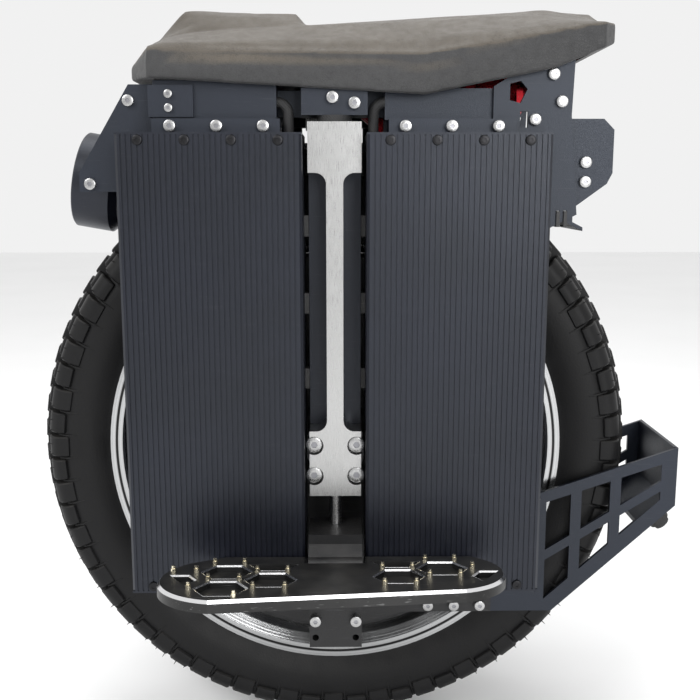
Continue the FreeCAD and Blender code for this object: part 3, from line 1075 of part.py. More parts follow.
def seat_section(body, station):
    """One cross section of the cushion: straight sides, a sloping facet up to the shoulder, and the ridge."""
    name = f"seat_{station}_"
    sketch = new_sketch(body, "YZ_Plane", name + "x")
    half = f"seat_half * {name}share"
    right = [(half, name + "low"), (half, name + "edge"), (f"{half} * seat_shoulder", name + "shoulder"),
             (f"{half} * seat_ridge", name + "ridge")]
    outline(sketch, right + [(minus(y), z) for y, z in reversed(right)])
    return sketch


def hollow_section(body, x, half, low, high):
    sketch = new_sketch(body, "YZ_Plane", x)
    box_outline(sketch, minus(half), low, half, high)
    return sketch


def loft(body, kind, sections):
    feature = body.newObject("PartDesign::" + kind, body.Name + "_loft")
    feature.Profile = sections[0]
    feature.Sections = sections[1:]
    feature.Ruled = True


HOLLOW = ["hollow_front", "hollow_mid", "hollow_back", "hollow_rear"]


def make_seat():
    cushion = new_body("seat_cushion")
    loft(cushion, "AdditiveLoft", [seat_section(cushion, row[0]) for row in SEAT_STATIONS])
    half = "seat_half - seat_skirt"
    loft(cushion, "SubtractiveLoft", [hollow_section(cushion, x, half, "seat_kink_low - 20", x + "_z") for x in HOLLOW])
    upright(cushion, "Pocket", lambda sketch: box_outline(
        sketch, "tunnel_front", minus("tunnel_half"), "tunnel_rear", "tunnel_half"), "hollow_mid_z - 10", "tunnel_top")

    base = new_body("seat_base")
    reach = f"{half} - pan_gap"
    loft(base, "AdditiveLoft", [hollow_section(base, x, reach, f"{x}_z - pan_gap - pan_wall", f"{x}_z - pan_gap")
                                for x in HOLLOW])
    upright(base, "Pocket", lambda sketch: box_outline(
        sketch, "tunnel_front", minus("tunnel_half"), "tunnel_rear", "tunnel_half"), "hollow_mid_z - 10", "tunnel_top")


def check_and_write():
    doc.recompute()
    failed = [thing.Label for thing in doc.Objects if {"Invalid", "Error"} & set(thing.State)]
    if failed:
        raise RuntimeError(f"failed objects: {failed}")
    for node in nodes:
        if node.Shape.isNull() or not node.Shape.isValid():
            raise RuntimeError(f"{node.Label} has no valid shape")
    os.makedirs("parts", exist_ok=True)
    for node in nodes:
        node.Shape.exportStep(f"parts/{node.Label}.step")
        print(node.Label, len(node.Shape.Solids), round(node.Shape.Volume))


make_tyre()
make_rim()
make_hub()
make_axle()
make_bars()
make_hangers()
make_stand()
make_pedals()
make_boxes()
make_upper()
make_front_plates()
make_rear_plates()
make_lights()
make_guard()
make_leads()
make_controls()
make_linkage()
make_seat()
check_and_write()
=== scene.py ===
import json
import math
import random

import bmesh
import bpy
from bpy.props import FloatProperty, FloatVectorProperty, IntProperty, PointerProperty
from mathutils import Matrix, Vector

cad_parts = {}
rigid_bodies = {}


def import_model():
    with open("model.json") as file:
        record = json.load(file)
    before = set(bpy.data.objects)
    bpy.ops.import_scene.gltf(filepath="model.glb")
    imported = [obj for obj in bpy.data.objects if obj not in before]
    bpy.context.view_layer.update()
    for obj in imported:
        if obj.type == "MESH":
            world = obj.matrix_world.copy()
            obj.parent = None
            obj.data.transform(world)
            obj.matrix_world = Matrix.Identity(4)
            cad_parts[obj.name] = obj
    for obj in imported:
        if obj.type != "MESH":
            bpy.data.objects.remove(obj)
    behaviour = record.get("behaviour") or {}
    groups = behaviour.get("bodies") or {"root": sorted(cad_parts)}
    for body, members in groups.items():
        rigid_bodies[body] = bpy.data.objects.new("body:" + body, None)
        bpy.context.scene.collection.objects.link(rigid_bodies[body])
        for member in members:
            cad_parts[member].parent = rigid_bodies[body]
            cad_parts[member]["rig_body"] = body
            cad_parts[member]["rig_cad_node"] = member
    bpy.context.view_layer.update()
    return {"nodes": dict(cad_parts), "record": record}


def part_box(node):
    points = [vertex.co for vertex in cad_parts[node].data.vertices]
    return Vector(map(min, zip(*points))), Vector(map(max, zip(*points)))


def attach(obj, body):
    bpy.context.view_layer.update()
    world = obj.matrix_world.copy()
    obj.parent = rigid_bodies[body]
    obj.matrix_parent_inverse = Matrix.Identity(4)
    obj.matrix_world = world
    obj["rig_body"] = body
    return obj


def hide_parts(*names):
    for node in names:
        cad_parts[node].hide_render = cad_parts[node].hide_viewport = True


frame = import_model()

bl_info = {
    "name": "Electric unicycle finish",
    "version": (1, 0, 0),
    "blender": (4, 5, 0),
    "location": "View3D > Sidebar > Unicycle",
    "description": "Treads the tyre, upholsters the seat and paints the metalwork of an electric unicycle",
    "category": "Object",
}

NODES = frame["nodes"]
SLOT_OF = {part["node"]: part["material_slot"] for part in frame["record"]["subparts"]}
TYRE_LOW, TYRE_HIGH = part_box("tyre")
TYRE_R = (TYRE_HIGH[2] - TYRE_LOW[2]) / 2
HUB = Vector((0, 0, (TYRE_HIGH[2] + TYRE_LOW[2]) / 2))


class TyreSettings(bpy.types.PropertyGroup):
    knobs: IntProperty(name="Knobs", description="Knobs round the tyre in each row", default=72, min=24)
    knob_height: FloatProperty(name="Knob height", description="How far a knob stands out of the carcass",
                               default=0.0095, unit="LENGTH")
    hair: FloatProperty(name="Vent hair", description="Length of the moulding hairs on the shoulder knobs",
                        default=0.0045, unit="LENGTH")


class SeatSettings(bpy.types.PropertyGroup):
    depth: IntProperty(name="Mesh depth", description="How often the cushion's mesh grid is halved",
                       default=7, min=5)
    swell: FloatProperty(name="Swell", description="The furthest that the foam pushes the cover out",
                         default=0.0025, unit="LENGTH")
    tail: FloatProperty(name="Tail", description="How far back the padded cover reaches", default=0.209,
                        unit="LENGTH")
    cover: FloatVectorProperty(name="Cover", description="Colour of the seat cover",
                               default=(0.056, 0.046, 0.034), subtype="COLOR")
    band: FloatVectorProperty(name="Side band", description="Colour of the seat's side band",
                              default=(0.021, 0.021, 0.022), subtype="COLOR")


class PedalSettings(bpy.types.PropertyGroup):
    cell_x: FloatProperty(name="Cell X", description="How far the outer cells stand from the axle",
                          default=0.0785, unit="LENGTH")
    front_u: FloatProperty(name="Front cells", description="How far the front cells stand out from the hinge",
                           default=0.033, unit="LENGTH")
    rear_u: FloatProperty(name="Rear cells", description="How far the rear cells stand out from the hinge",
                          default=0.026, unit="LENGTH")
    cell_r: FloatProperty(name="Cell pitch", description="Radius of the honeycomb's cells", default=0.022,
                          unit="LENGTH")
    pocket_r: FloatProperty(name="Pocket", description="Radius of a pocket", default=0.0192, unit="LENGTH")
    side_r: FloatProperty(name="Side pocket", description="Radius of a pocket at the plate's ends",
                          default=0.014, unit="LENGTH")
    edge: FloatProperty(name="Edge", description="Height of the bright edge", default=0.0011, unit="LENGTH")
    proud: FloatProperty(name="Proud", description="How far the bright edge stands over the plate",
                         default=0.0001, unit="LENGTH")
    top: FloatProperty(name="Top", description="Height of the plate's top over the hinge", default=0.007,
                       unit="LENGTH")
    hinge_y: FloatProperty(name="Hinge Y", description="How far the hinge stands from the middle",
                           default=0.13, unit="LENGTH")
    hinge_z: FloatProperty(name="Hinge Z", description="Height of the hinge over the axle", default=-0.068,
                           unit="LENGTH")
    tilt: FloatProperty(name="Tilt", description="How far the pedal leans up at rest",
                        default=math.radians(6.5), subtype="ANGLE")


class StageSettings(bpy.types.PropertyGroup):
    camera: FloatVectorProperty(name="Camera", description="Where the camera stands",
                                default=(0.00315, -0.8054, 0.4701), subtype="TRANSLATION", unit="LENGTH")
    pitch: FloatProperty(name="Pitch", description="How far the camera looks down",
                         default=math.radians(9.89), subtype="ANGLE")
    yaw: FloatProperty(name="Yaw", description="How far the camera turns to the right",
                       default=math.radians(0.67), subtype="ANGLE")
    lens: FloatProperty(name="Lens", description="Focal length on a 36 mm sensor, in millimetres",
                        default=48.26)
    floor: FloatVectorProperty(name="Floor", description="Colour of the floor", default=(0.9, 0.9, 0.9),
                               subtype="COLOR")


# Mesh helpers

def deselect():
    if bpy.context.object and bpy.context.object.mode != "OBJECT":
        bpy.ops.object.mode_set(mode="OBJECT")
    bpy.ops.object.select_all(action="DESELECT")


def pick(obj):
    deselect()
    obj.select_set(True)
    bpy.context.view_layer.objects.active = obj


def apply_modifiers(obj):
    pick(obj)
    for modifier in list(obj.modifiers):
        bpy.ops.object.modifier_apply(modifier=modifier.name)


def profile_piece(name, points):
    """A closed outline in the plane through the axle, given as (distance along Y, radius from the axle)."""
    mesh = bpy.data.meshes.new(name)
    corners = [HUB + Vector((0, y, r)) for y, r in points]
    edges = [(index, (index + 1) % len(points)) for index in range(len(points))]
    mesh.from_pydata(corners, edges, [])
    obj = bpy.data.objects.new(name, mesh)
    bpy.context.scene.collection.objects.link(obj)
    return obj


def spin_piece(obj, steps):
    """Turns an outline once round the axle and closes it."""
    pick(obj)
    bpy.ops.object.mode_set(mode="EDIT")
    bpy.ops.mesh.select_all(action="SELECT")
    bpy.ops.mesh.spin(steps=steps, angle=2 * math.pi, center=HUB, axis=(0, 1, 0))
    bpy.ops.mesh.select_all(action="SELECT")
    bpy.ops.mesh.remove_doubles(threshold=0.00001)
    bpy.ops.mesh.normals_make_consistent(inside=False)
    bpy.ops.object.mode_set(mode="OBJECT")


def block(name, section, length, bevel):
    """A bevelled block: a section of (distance along Y, radius) drawn out along the tyre's run."""
    obj = profile_piece(name, section)
    pick(obj)
    bpy.ops.object.mode_set(mode="EDIT")
    bpy.ops.mesh.select_all(action="SELECT")
    bpy.ops.mesh.edge_face_add()
    bpy.ops.mesh.extrude_region_move(TRANSFORM_OT_translate={"value": (length, 0, 0)})
    bpy.ops.mesh.select_all(action="SELECT")
    bpy.ops.transform.translate(value=(-length / 2, 0, 0))
    bpy.ops.mesh.normals_make_consistent(inside=False)
    if bevel:
        bpy.ops.mesh.bevel(offset=bevel, segments=1, affect="EDGES")
    bpy.ops.object.mode_set(mode="OBJECT")
    return obj


def ring_copies(obj, turns, mirror):
    """Copies of one block round the axle, each with its own mesh, mirrored to the other side where asked."""
    about = Matrix.Translation(HUB)
    back = about.inverted()
    flip = Matrix.Scale(-1, 4, Vector((0, 1, 0)))
    copies = []
    for turn in turns:
        place = about @ Matrix.Rotation(turn, 4, "Y") @ (flip if mirror else Matrix()) @ back
        copy = obj.copy()
        copy.data = obj.data.copy()
        copy.data.transform(place)
        if mirror:
            copy.data.flip_normals()
        bpy.context.scene.collection.objects.link(copy)
        copies.append(copy)
    return copies


def join(name, pieces):
    deselect()
    for piece in pieces:
        piece.select_set(True)
    bpy.context.view_layer.objects.active = pieces[0]
    bpy.ops.object.join()
    joined = bpy.context.object
    joined.name = name
    joined.data.name = name
    return joined


def dress(obj, finish):
    obj.data.materials.clear()
    obj.data.materials.append(finish)


# Shader helpers

def add_node(tree, kind, **values):
    """A node with its inputs set by name, with underscores for spaces, or linked where a socket is given."""
    node = tree.nodes.new(kind)
    for name, value in values.items():
        label = name.replace("_", " ")
        if label in node.inputs:
            if isinstance(value, bpy.types.NodeSocket):
                tree.links.new(value, node.inputs[label])
            else:
                node.inputs[label].default_value = value
        else:
            setattr(node, name, value)
    return node


def math_node(tree, operation, first, second=0.5, third=0.0):
    node = tree.nodes.new("ShaderNodeMath")
    node.operation = operation
    for socket, value in zip(node.inputs, (first, second, third)):
        if isinstance(value, bpy.types.NodeSocket):
            tree.links.new(value, socket)
        else:
            socket.default_value = value
    return node.outputs[0]


def mix_colour(tree, factor, first, second, blend="MIX"):
    node = tree.nodes.new("ShaderNodeMix")
    node.data_type = "RGBA"
    node.blend_type = blend
    for socket, value in zip((node.inputs[0], node.inputs[6], node.inputs[7]), (factor, first, second)):
        if isinstance(value, bpy.types.NodeSocket):
            tree.links.new(value, socket)
        elif isinstance(value, (int, float)):
            socket.default_value = value
        else:
            socket.default_value = (*value[:3], 1)
    return node.outputs[2]


def spread(tree, value, low, high, new_low=0.0, new_high=1.0):
    node = add_node(tree, "ShaderNodeMapRange", clamp=True)
    tree.links.new(value, node.inputs[0])
    for socket, number in zip(node.inputs[1:5], (low, high, new_low, new_high)):
        socket.default_value = number
    return node.outputs[0]


def new_group(name, inputs, outputs):
    tree = bpy.data.node_groups.new(name, "ShaderNodeTree")
    for label, kind, default in inputs:
        socket = tree.interface.new_socket(name=label, in_out="INPUT", socket_type=kind)
        if default is not None:
            socket.default_value = default
    for label, kind in outputs:
        tree.interface.new_socket(name=label, in_out="OUTPUT", socket_type=kind)
    start = tree.nodes.new("NodeGroupInput").outputs
    end = tree.nodes.new("NodeGroupOutput").inputs
    return tree, start, end


def grain_group():
    """Fine surface grain, with slow patches of tone. Stretch draws the grain out along one axis."""
    tree, start, end = new_group(
        "Surface grain",
        [("Vector", "NodeSocketVector", None), ("Scale", "NodeSocketFloat", 900.0),
         ("Patches", "NodeSocketFloat", 14.0), ("Stretch", "NodeSocketVector", (1, 1, 1))],
        [("Height", "NodeSocketFloat"), ("Tone", "NodeSocketFloat")])
    drawn = add_node(tree, "ShaderNodeVectorMath", operation="MULTIPLY")
    tree.links.new(start["Vector"], drawn.inputs[0])
    tree.links.new(start["Stretch"], drawn.inputs[1])
    fine = add_node(tree, "ShaderNodeTexNoise", Vector=drawn.outputs[0], Scale=start["Scale"], Detail=3.0)
    slow = add_node(tree, "ShaderNodeTexNoise", Vector=start["Vector"], Scale=start["Patches"], Detail=4.0)
    tree.links.new(fine.outputs[0], end["Height"])
    tree.links.new(spread(tree, slow.outputs[0], 0.3, 0.7), end["Tone"])


def dust_group():
    """Dust that settles on faces that look up, broken by noise."""
    tree, start, end = new_group(
        "Settled dust",
        [("Vector", "NodeSocketVector", None), ("Normal", "NodeSocketVector", None),
         ("Amount", "NodeSocketFloat", 0.2)],
        [("Mask", "NodeSocketFloat")])
    parts = add_node(tree, "ShaderNodeSeparateXYZ")
    tree.links.new(start["Normal"], parts.inputs[0])
    facing = spread(tree, parts.outputs[2], 0.2, 1.0)
    cloud = add_node(tree, "ShaderNodeTexNoise", Vector=start["Vector"], Scale=60.0, Detail=6.0)
    speck = math_node(tree, "MULTIPLY", facing, spread(tree, cloud.outputs[0], 0.35, 0.75))
    tree.links.new(math_node(tree, "MULTIPLY", speck, start["Amount"]), end["Mask"])


def scuff_group():
    """Thin stray scratches in two directions."""
    tree, start, end = new_group(
        "Stray scratches",
        [("Vector", "NodeSocketVector", None), ("Amount", "NodeSocketFloat", 0.3)],
        [("Mask", "NodeSocketFloat")])
    lines = []
    for turn in ((0.4, 0.2, 0.7), (1.3, 0.9, -0.5)):
        turned = add_node(tree, "ShaderNodeMapping", Vector=start["Vector"], Rotation=turn,
                          Scale=(40, 900, 900))
        streak = add_node(tree, "ShaderNodeTexNoise", Vector=turned.outputs[0], Scale=1.0, Detail=2.0)
        lines.append(spread(tree, streak.outputs[0], 0.68, 0.76))
    both = math_node(tree, "MAXIMUM", *lines)
    tree.links.new(math_node(tree, "MULTIPLY", both, start["Amount"]), end["Mask"])


def place_group(tree, group, **values):
    node = tree.nodes.new("ShaderNodeGroup")
    node.node_tree = bpy.data.node_groups[group]
    for label, value in values.items():
        if isinstance(value, bpy.types.NodeSocket):
            tree.links.new(value, node.inputs[label])
        else:
            node.inputs[label].default_value = value
    return node.outputs


def start_finish(name, **shader):
    """A material with its Principled shader, and Object coordinates and normals to draw on."""
    finish = bpy.data.materials.new(name)
    finish.use_nodes = True
    tree = finish.node_tree
    principled = tree.nodes["Principled BSDF"]
    for label, value in shader.items():
        principled.inputs[label.replace("_", " ")].default_value = value
    place = tree.nodes.new("ShaderNodeTexCoord").outputs
    return finish, tree, principled.inputs, place["Object"], place["Normal"]


def bump(tree, sockets, height, strength, distance=0.0004):
    node = add_node(tree, "ShaderNodeBump", Strength=strength, Distance=distance, Height=height)
    tree.links.new(node.outputs[0], sockets["Normal"])


METAL_DUST = (0.42, 0.4, 0.37)
RUBBER_DUST = (0.3, 0.28, 0.25)
DARK_DUST = (0.35, 0.33, 0.3)
# Painted shade: the dark colour laid in the rim's groove
GROOVE_SHADE = (0.02, 0.02, 0.02)
GROOVE_SOFT = 0.0003
RIM_GROOVE = (0.1836, 0.1858)
BLACK_WORN = (0.22, 0.22, 0.23)


def metal_finish(name, colour, rough, metal=1.0, grain=900.0, stretch=(1, 1, 1), lift=0.15, tone=0.25,
                 dust=0.05, scuff=0.2, worn=(0.7, 0.7, 0.7), tint=(1, 1, 1)):
    """A machined, anodised or painted surface: toned patches, grain, stray scratches and a little dust."""
    finish, tree, sockets, vector, normal = start_finish(name, Metallic=metal, Specular_Tint=(*tint, 1))
    surface = place_group(tree, "Surface grain", Vector=vector, Scale=grain, Stretch=stretch)
    marks = place_group(tree, "Stray scratches", Vector=vector, Amount=scuff)["Mask"]
    settled = place_group(tree, "Settled dust", Vector=vector, Normal=normal, Amount=dust)["Mask"]
    dark = [channel * (1 - tone) for channel in colour]
    toned = mix_colour(tree, surface["Tone"], dark, colour)
    marked = mix_colour(tree, marks, toned, worn)
    dusty = mix_colour(tree, settled, marked, METAL_DUST)
    tree.links.new(dusty, sockets["Base Color"])
    shine = spread(tree, surface["Height"], 0.3, 0.7, max(0.05, rough - 0.08), min(1.0, rough + 0.08))
    dull = math_node(tree, "MULTIPLY", settled, 0.4)
    tree.links.new(math_node(tree, "ADD", shine, dull), sockets["Roughness"])
    bump(tree, sockets, surface["Height"], lift)
    return finish


def lathe_finish(name, colour, rough, groove):
    """Polished alloy with the fine rings that a lathe leaves round the axle, and the painted shade of one
    groove.
    """
    finish, tree, sockets, vector, _ = start_finish(name, Metallic=1.0)
    place = add_node(tree, "ShaderNodeSeparateXYZ")
    tree.links.new(vector, place.inputs[0])
    up = math_node(tree, "SUBTRACT", place.outputs[2], HUB.z)
    square = math_node(tree, "ADD", math_node(tree, "POWER", place.outputs[0], 2.0),
                       math_node(tree, "POWER", up, 2.0))
    radius = math_node(tree, "SQRT", square)
    rings = add_node(tree, "ShaderNodeTexNoise", noise_dimensions="1D", Scale=900.0, Detail=3.0)
    tree.links.new(radius, rings.inputs["W"])
    surface = place_group(tree, "Surface grain", Vector=vector, Scale=1200.0, Patches=20.0)
    line = spread(tree, rings.outputs[0], 0.35, 0.65)
    dark = [channel * 0.8 for channel in colour]
    # Painted shade: a dark ring between the groove's two radii
    starts, ends = (spread(tree, radius, edge - GROOVE_SOFT, edge + GROOVE_SOFT) for edge in groove)
    shade = math_node(tree, "SUBTRACT", starts, ends)
    ringed = mix_colour(tree, shade, mix_colour(tree, line, dark, colour), GROOVE_SHADE)
    tree.links.new(ringed, sockets["Base Color"])
    tree.links.new(spread(tree, surface["Tone"], 0, 1, rough - 0.05, rough + 0.1), sockets["Roughness"])
    bump(tree, sockets, line, 0.08, 0.0003)
    return finish


def rubber_finish(name, colour, rough, grain=600.0, dust=0.3, lift=0.35):
    finish, tree, sockets, vector, normal = start_finish(name, Specular_IOR_Level=0.2)
    surface = place_group(tree, "Surface grain", Vector=vector, Scale=grain, Patches=22.0)
    settled = place_group(tree, "Settled dust", Vector=vector, Normal=normal, Amount=dust)["Mask"]
    toned = mix_colour(tree, surface["Tone"], [channel * 0.75 for channel in colour],
                       [channel * 1.3 for channel in colour])
    tree.links.new(mix_colour(tree, settled, toned, RUBBER_DUST), sockets["Base Color"])
    tree.links.new(spread(tree, surface["Tone"], 0, 1, rough - 0.1, rough + 0.1), sockets["Roughness"])
    bump(tree, sockets, surface["Height"], lift)
    return finish


def braid_finish(name, colour):
    """A woven sleeve over a cable."""
    finish, tree, sockets, vector, _ = start_finish(name, Roughness=0.6)
    heights = []
    for turn in (0.8, -0.8):
        turned = add_node(tree, "ShaderNodeMapping", Vector=vector, Rotation=(0, turn, 0))
        wave = add_node(tree, "ShaderNodeTexWave", Vector=turned.outputs[0], Scale=220.0, bands_direction="Z")
        heights.append(wave.outputs[1])
    weave = math_node(tree, "MAXIMUM", *heights)
    dark = [channel * 0.4 for channel in colour]
    tree.links.new(mix_colour(tree, weave, dark, colour), sockets["Base Color"])
    bump(tree, sockets, weave, 0.6, 0.0006)
    return finish


def pedal_finish(name, colour, bright):
    """Black anodised plate whose chamfers, the faces that lean half way, are polished bright."""
    finish, tree, sockets, vector, normal = start_finish(name)
    parts = add_node(tree, "ShaderNodeSeparateXYZ")
    tree.links.new(normal, parts.inputs[0])
    leaning = math_node(tree, "MULTIPLY", spread(tree, parts.outputs[2], 0.4, 0.5),
                        spread(tree, parts.outputs[2], 0.93, 0.85))
    surface = place_group(tree, "Surface grain", Vector=vector, Scale=800.0)
    marks = place_group(tree, "Stray scratches", Vector=vector, Amount=0.35)["Mask"]
    settled = place_group(tree, "Settled dust", Vector=vector, Normal=normal, Amount=0.12)["Mask"]
    toned = mix_colour(tree, surface["Tone"], [channel * 0.6 for channel in colour], colour)
    scratched = mix_colour(tree, marks, toned, (0.3, 0.3, 0.3))
    dusty = mix_colour(tree, settled, scratched, DARK_DUST)
    tree.links.new(mix_colour(tree, leaning, dusty, bright), sockets["Base Color"])
    tree.links.new(spread(tree, leaning, 0, 1, 0.42, 0.16), sockets["Roughness"])
    tree.links.new(spread(tree, leaning, 0, 1, 0.7, 1.0), sockets["Metallic"])
    bump(tree, sockets, surface["Height"], 0.12)
    return finish


def seat_finish(name, cover, band):
    """Grained vinyl, greyer on the upright side band than on the top panels."""
    finish, tree, sockets, vector, normal = start_finish(name, Sheen_Weight=0.12, Sheen_Roughness=0.5)
    parts = add_node(tree, "ShaderNodeSeparateXYZ")
    tree.links.new(normal, parts.inputs[0])
    topping = spread(tree, parts.outputs[2], 0.15, 0.3)
    pebble = add_node(tree, "ShaderNodeTexVoronoi", Vector=vector, Scale=620.0, feature="DISTANCE_TO_EDGE")
    crack = spread(tree, pebble.outputs[0], 0.0, 0.12)
    surface = place_group(tree, "Surface grain", Vector=vector, Scale=160.0, Patches=9.0)
    panel = mix_colour(tree, topping, band, cover)
    pale = mix_colour(tree, 1.0, panel, (1.3, 1.3, 1.3), "MULTIPLY")
    toned = mix_colour(tree, surface["Tone"], panel, pale)
    lined = mix_colour(tree, crack, mix_colour(tree, 1.0, toned, (0.6, 0.6, 0.6), "MULTIPLY"), toned)
    settled = place_group(tree, "Settled dust", Vector=vector, Normal=normal, Amount=0.1)["Mask"]
    tree.links.new(mix_colour(tree, settled, lined, DARK_DUST), sockets["Base Color"])
    tree.links.new(spread(tree, surface["Height"], 0.3, 0.7, 0.5, 0.68), sockets["Roughness"])
    height = math_node(tree, "MULTIPLY_ADD", surface["Height"], 0.3, crack)
    bump(tree, sockets, height, 0.35, 0.0005)
    return finish


def lens_finish(name, colour, clear, ridge):
    """Moulded lens with fine flutes."""
    finish, tree, sockets, vector, _ = start_finish(name, IOR=1.49, Transmission_Weight=clear)
    flutes = add_node(tree, "ShaderNodeTexWave", Vector=vector, Scale=ridge, bands_direction="Y")
    tone = place_group(tree, "Surface grain", Vector=vector, Scale=300.0, Patches=30.0)
    dark = [channel * 0.85 for channel in colour]
    tree.links.new(mix_colour(tree, tone["Tone"], dark, colour), sockets["Base Color"])
    tree.links.new(spread(tree, tone["Height"], 0.3, 0.7, 0.04, 0.12), sockets["Roughness"])
    bump(tree, sockets, flutes.outputs[1], 0.3, 0.0008)
    return finish


def board_finish(name):
    """Lacquered circuit board with copper tracks."""
    finish, tree, sockets, vector, _ = start_finish(name)
    tracks = add_node(tree, "ShaderNodeTexBrick", Vector=vector, Scale=90.0, Mortar_Size=0.03,
                      Color1=(0.01, 0.1, 0.03, 1), Color2=(0.015, 0.14, 0.05, 1), Mortar=(0.4, 0.25, 0.1, 1))
    surface = place_group(tree, "Surface grain", Vector=vector, Scale=500.0)
    tree.links.new(tracks.outputs[0], sockets["Base Color"])
    tree.links.new(spread(tree, surface["Tone"], 0, 1, 0.25, 0.4), sockets["Roughness"])
    bump(tree, sockets, tracks.outputs[1], 0.2)
    return finish


def make_finishes():
    seat = bpy.context.scene.unicycle_seat
    grain_group()
    dust_group()
    scuff_group()
    return {
        "tyre_rubber": rubber_finish("Tread rubber", (0.006, 0.006, 0.0064), 0.5, dust=0.08),
        "rubber_black": braid_finish("Black sleeve", (0.02, 0.02, 0.021)),
        "polished_alloy": lathe_finish("Polished rim alloy", (0.45, 0.455, 0.46), 0.2, RIM_GROOVE),
        "cast_black": metal_finish("Black cast alloy", (0.012, 0.012, 0.013), 0.45, metal=0.2, grain=700.0,
                                   lift=0.3, scuff=0.15, worn=BLACK_WORN),
        "magnet_steel": metal_finish("Plated steel", (0.3, 0.3, 0.32), 0.35),
        "steel": metal_finish("Bright screw steel", (0.46, 0.46, 0.46), 0.28, grain=1200.0, tone=0.25),
        "bare_alloy": metal_finish("Machined bare alloy", (0.44, 0.44, 0.437), 0.3, grain=500.0,
                                   stretch=(6, 6, 0.2), lift=0.04, tone=0.08, dust=0.02, scuff=0.05),
        "dark_anodised": metal_finish("Black anodised extrusion", (0.007, 0.008, 0.014), 0.36, metal=0.2,
                                      grain=500.0, stretch=(6, 6, 0.2), tone=0.4, scuff=0.06,
                                      worn=BLACK_WORN, tint=(0.87, 0.92, 1.0)),
        "black_screws": metal_finish("Black oxide steel", (0.03, 0.03, 0.032), 0.35, worn=BLACK_WORN),
        "powder_coat": metal_finish("Dark powder coat", (0.005, 0.007, 0.014), 0.42, metal=0.0, grain=1600.0,
                                    lift=0.35, tone=0.35, scuff=0.06, worn=BLACK_WORN, tint=(0.84, 0.9, 1.0)),
        "pedal_alloy": pedal_finish("Pedal black with polished edge", (0.034, 0.034, 0.034),
                                    (0.8, 0.8, 0.81)),
        "pedal_edge": metal_finish("Bright pedal edge", (0.7, 0.7, 0.71), 0.2, tone=0.15, scuff=0.15),
        "brass_studs": metal_finish("Zinc-yellow studs", (0.85, 0.78, 0.6), 0.22, tone=0.2),
        "glide_plastic": metal_finish("Dark glide plastic", (0.02, 0.02, 0.021), 0.5, metal=0.0, scuff=0.1),
        "black_plastic": metal_finish("Moulded black plastic", (0.018, 0.018, 0.019), 0.5, metal=0.0,
                                      grain=1400.0, lift=0.3, scuff=0.1, worn=BLACK_WORN),
        "cell_wrap": metal_finish("Blue cell wrap", (0.03, 0.1, 0.3), 0.35, metal=0.0),
        "circuit_board": board_finish("Circuit board"),
        "lamp_mirror": metal_finish("Reflector plating", (0.86, 0.86, 0.87), 0.06, lift=0.02, tone=0.05,
                                    scuff=0.0),
        "lamp_glass": lens_finish("Headlight glass", (0.95, 0.96, 0.98), 0.9, 60.0),
        "red_lens": lens_finish("Red tail lens", (0.5, 0.01, 0.01), 0.25, 90.0),
        "red_anodised": metal_finish("Red anodised alloy", (0.5, 0.02, 0.03), 0.3, grain=1000.0, tone=0.2),
        "seat_cover": seat_finish("Grained seat vinyl", seat.cover, seat.band),
    }


FINISH_NAMES = {}


def finish_of(slot):
    return bpy.data.materials[FINISH_NAMES[slot]]


# Operators

class UNICYCLE_OT_finishes(bpy.types.Operator):
    """Make the finishes and give each piece of the frame its own"""
    bl_idname = "unicycle.finishes"
    bl_label = "Finish the metalwork"

    def execute(self, context):
        for slot, finish in make_finishes().items():
            FINISH_NAMES[slot] = finish.name
        for name, obj in NODES.items():
            dress(obj, finish_of(SLOT_OF[name]))
        return {"FINISHED"}


# The tyre stays a hair's breadth inside its solid. Runs are shares of the knobs' pitch
TYRE_CLEAR = 0.0004
STEPS_PER_KNOB = 3
CENTRE_RUN, MIDDLE_RUN, SHOULDER_RUN, RIB_RUN = 0.7, 0.66, 0.78, 0.07
SHOULDER_FEET = (0.019, 0.0155)
MIRROR_SHIFT = 0.12

# Moulding hairs: where they stand on a shoulder knob, how they lean and how many are left
HAIR_SEED = 7
HAIR_SHIFTS = (-0.2, 0.22)
HAIR_Y = 0.037
HAIR_SINK = 0.0135
HAIR_LEAN = 0.35
HAIR_ROOT, HAIR_TIP = 0.0005, 0.0002
WORN_OFF = 0.35
GROUND_SIDE = -0.86


def carcass_outline(base):
    """The tyre's section under the knobs."""
    right = [(0.022, 0.1778), (0.029, 0.1778), (0.030, 0.187), (0.0335, 0.195), (0.0375, 0.203),
             (0.0398, 0.212), (0.0402, 0.220), (0.0388, 0.2275), (0.0355, base - 0.0105),
             (0.029, base - 0.0066), (0.018, base - 0.0026), (0.0, base)]
    left = [(-y, r) for y, r in reversed(right[:-1])]
    inner = [(-0.022, 0.192), (-0.030, 0.205), (-0.032, 0.222), (-0.026, 0.233), (0.0, 0.2375),
             (0.026, 0.233), (0.032, 0.222), (0.030, 0.205), (0.022, 0.192)]
    return right + left + inner


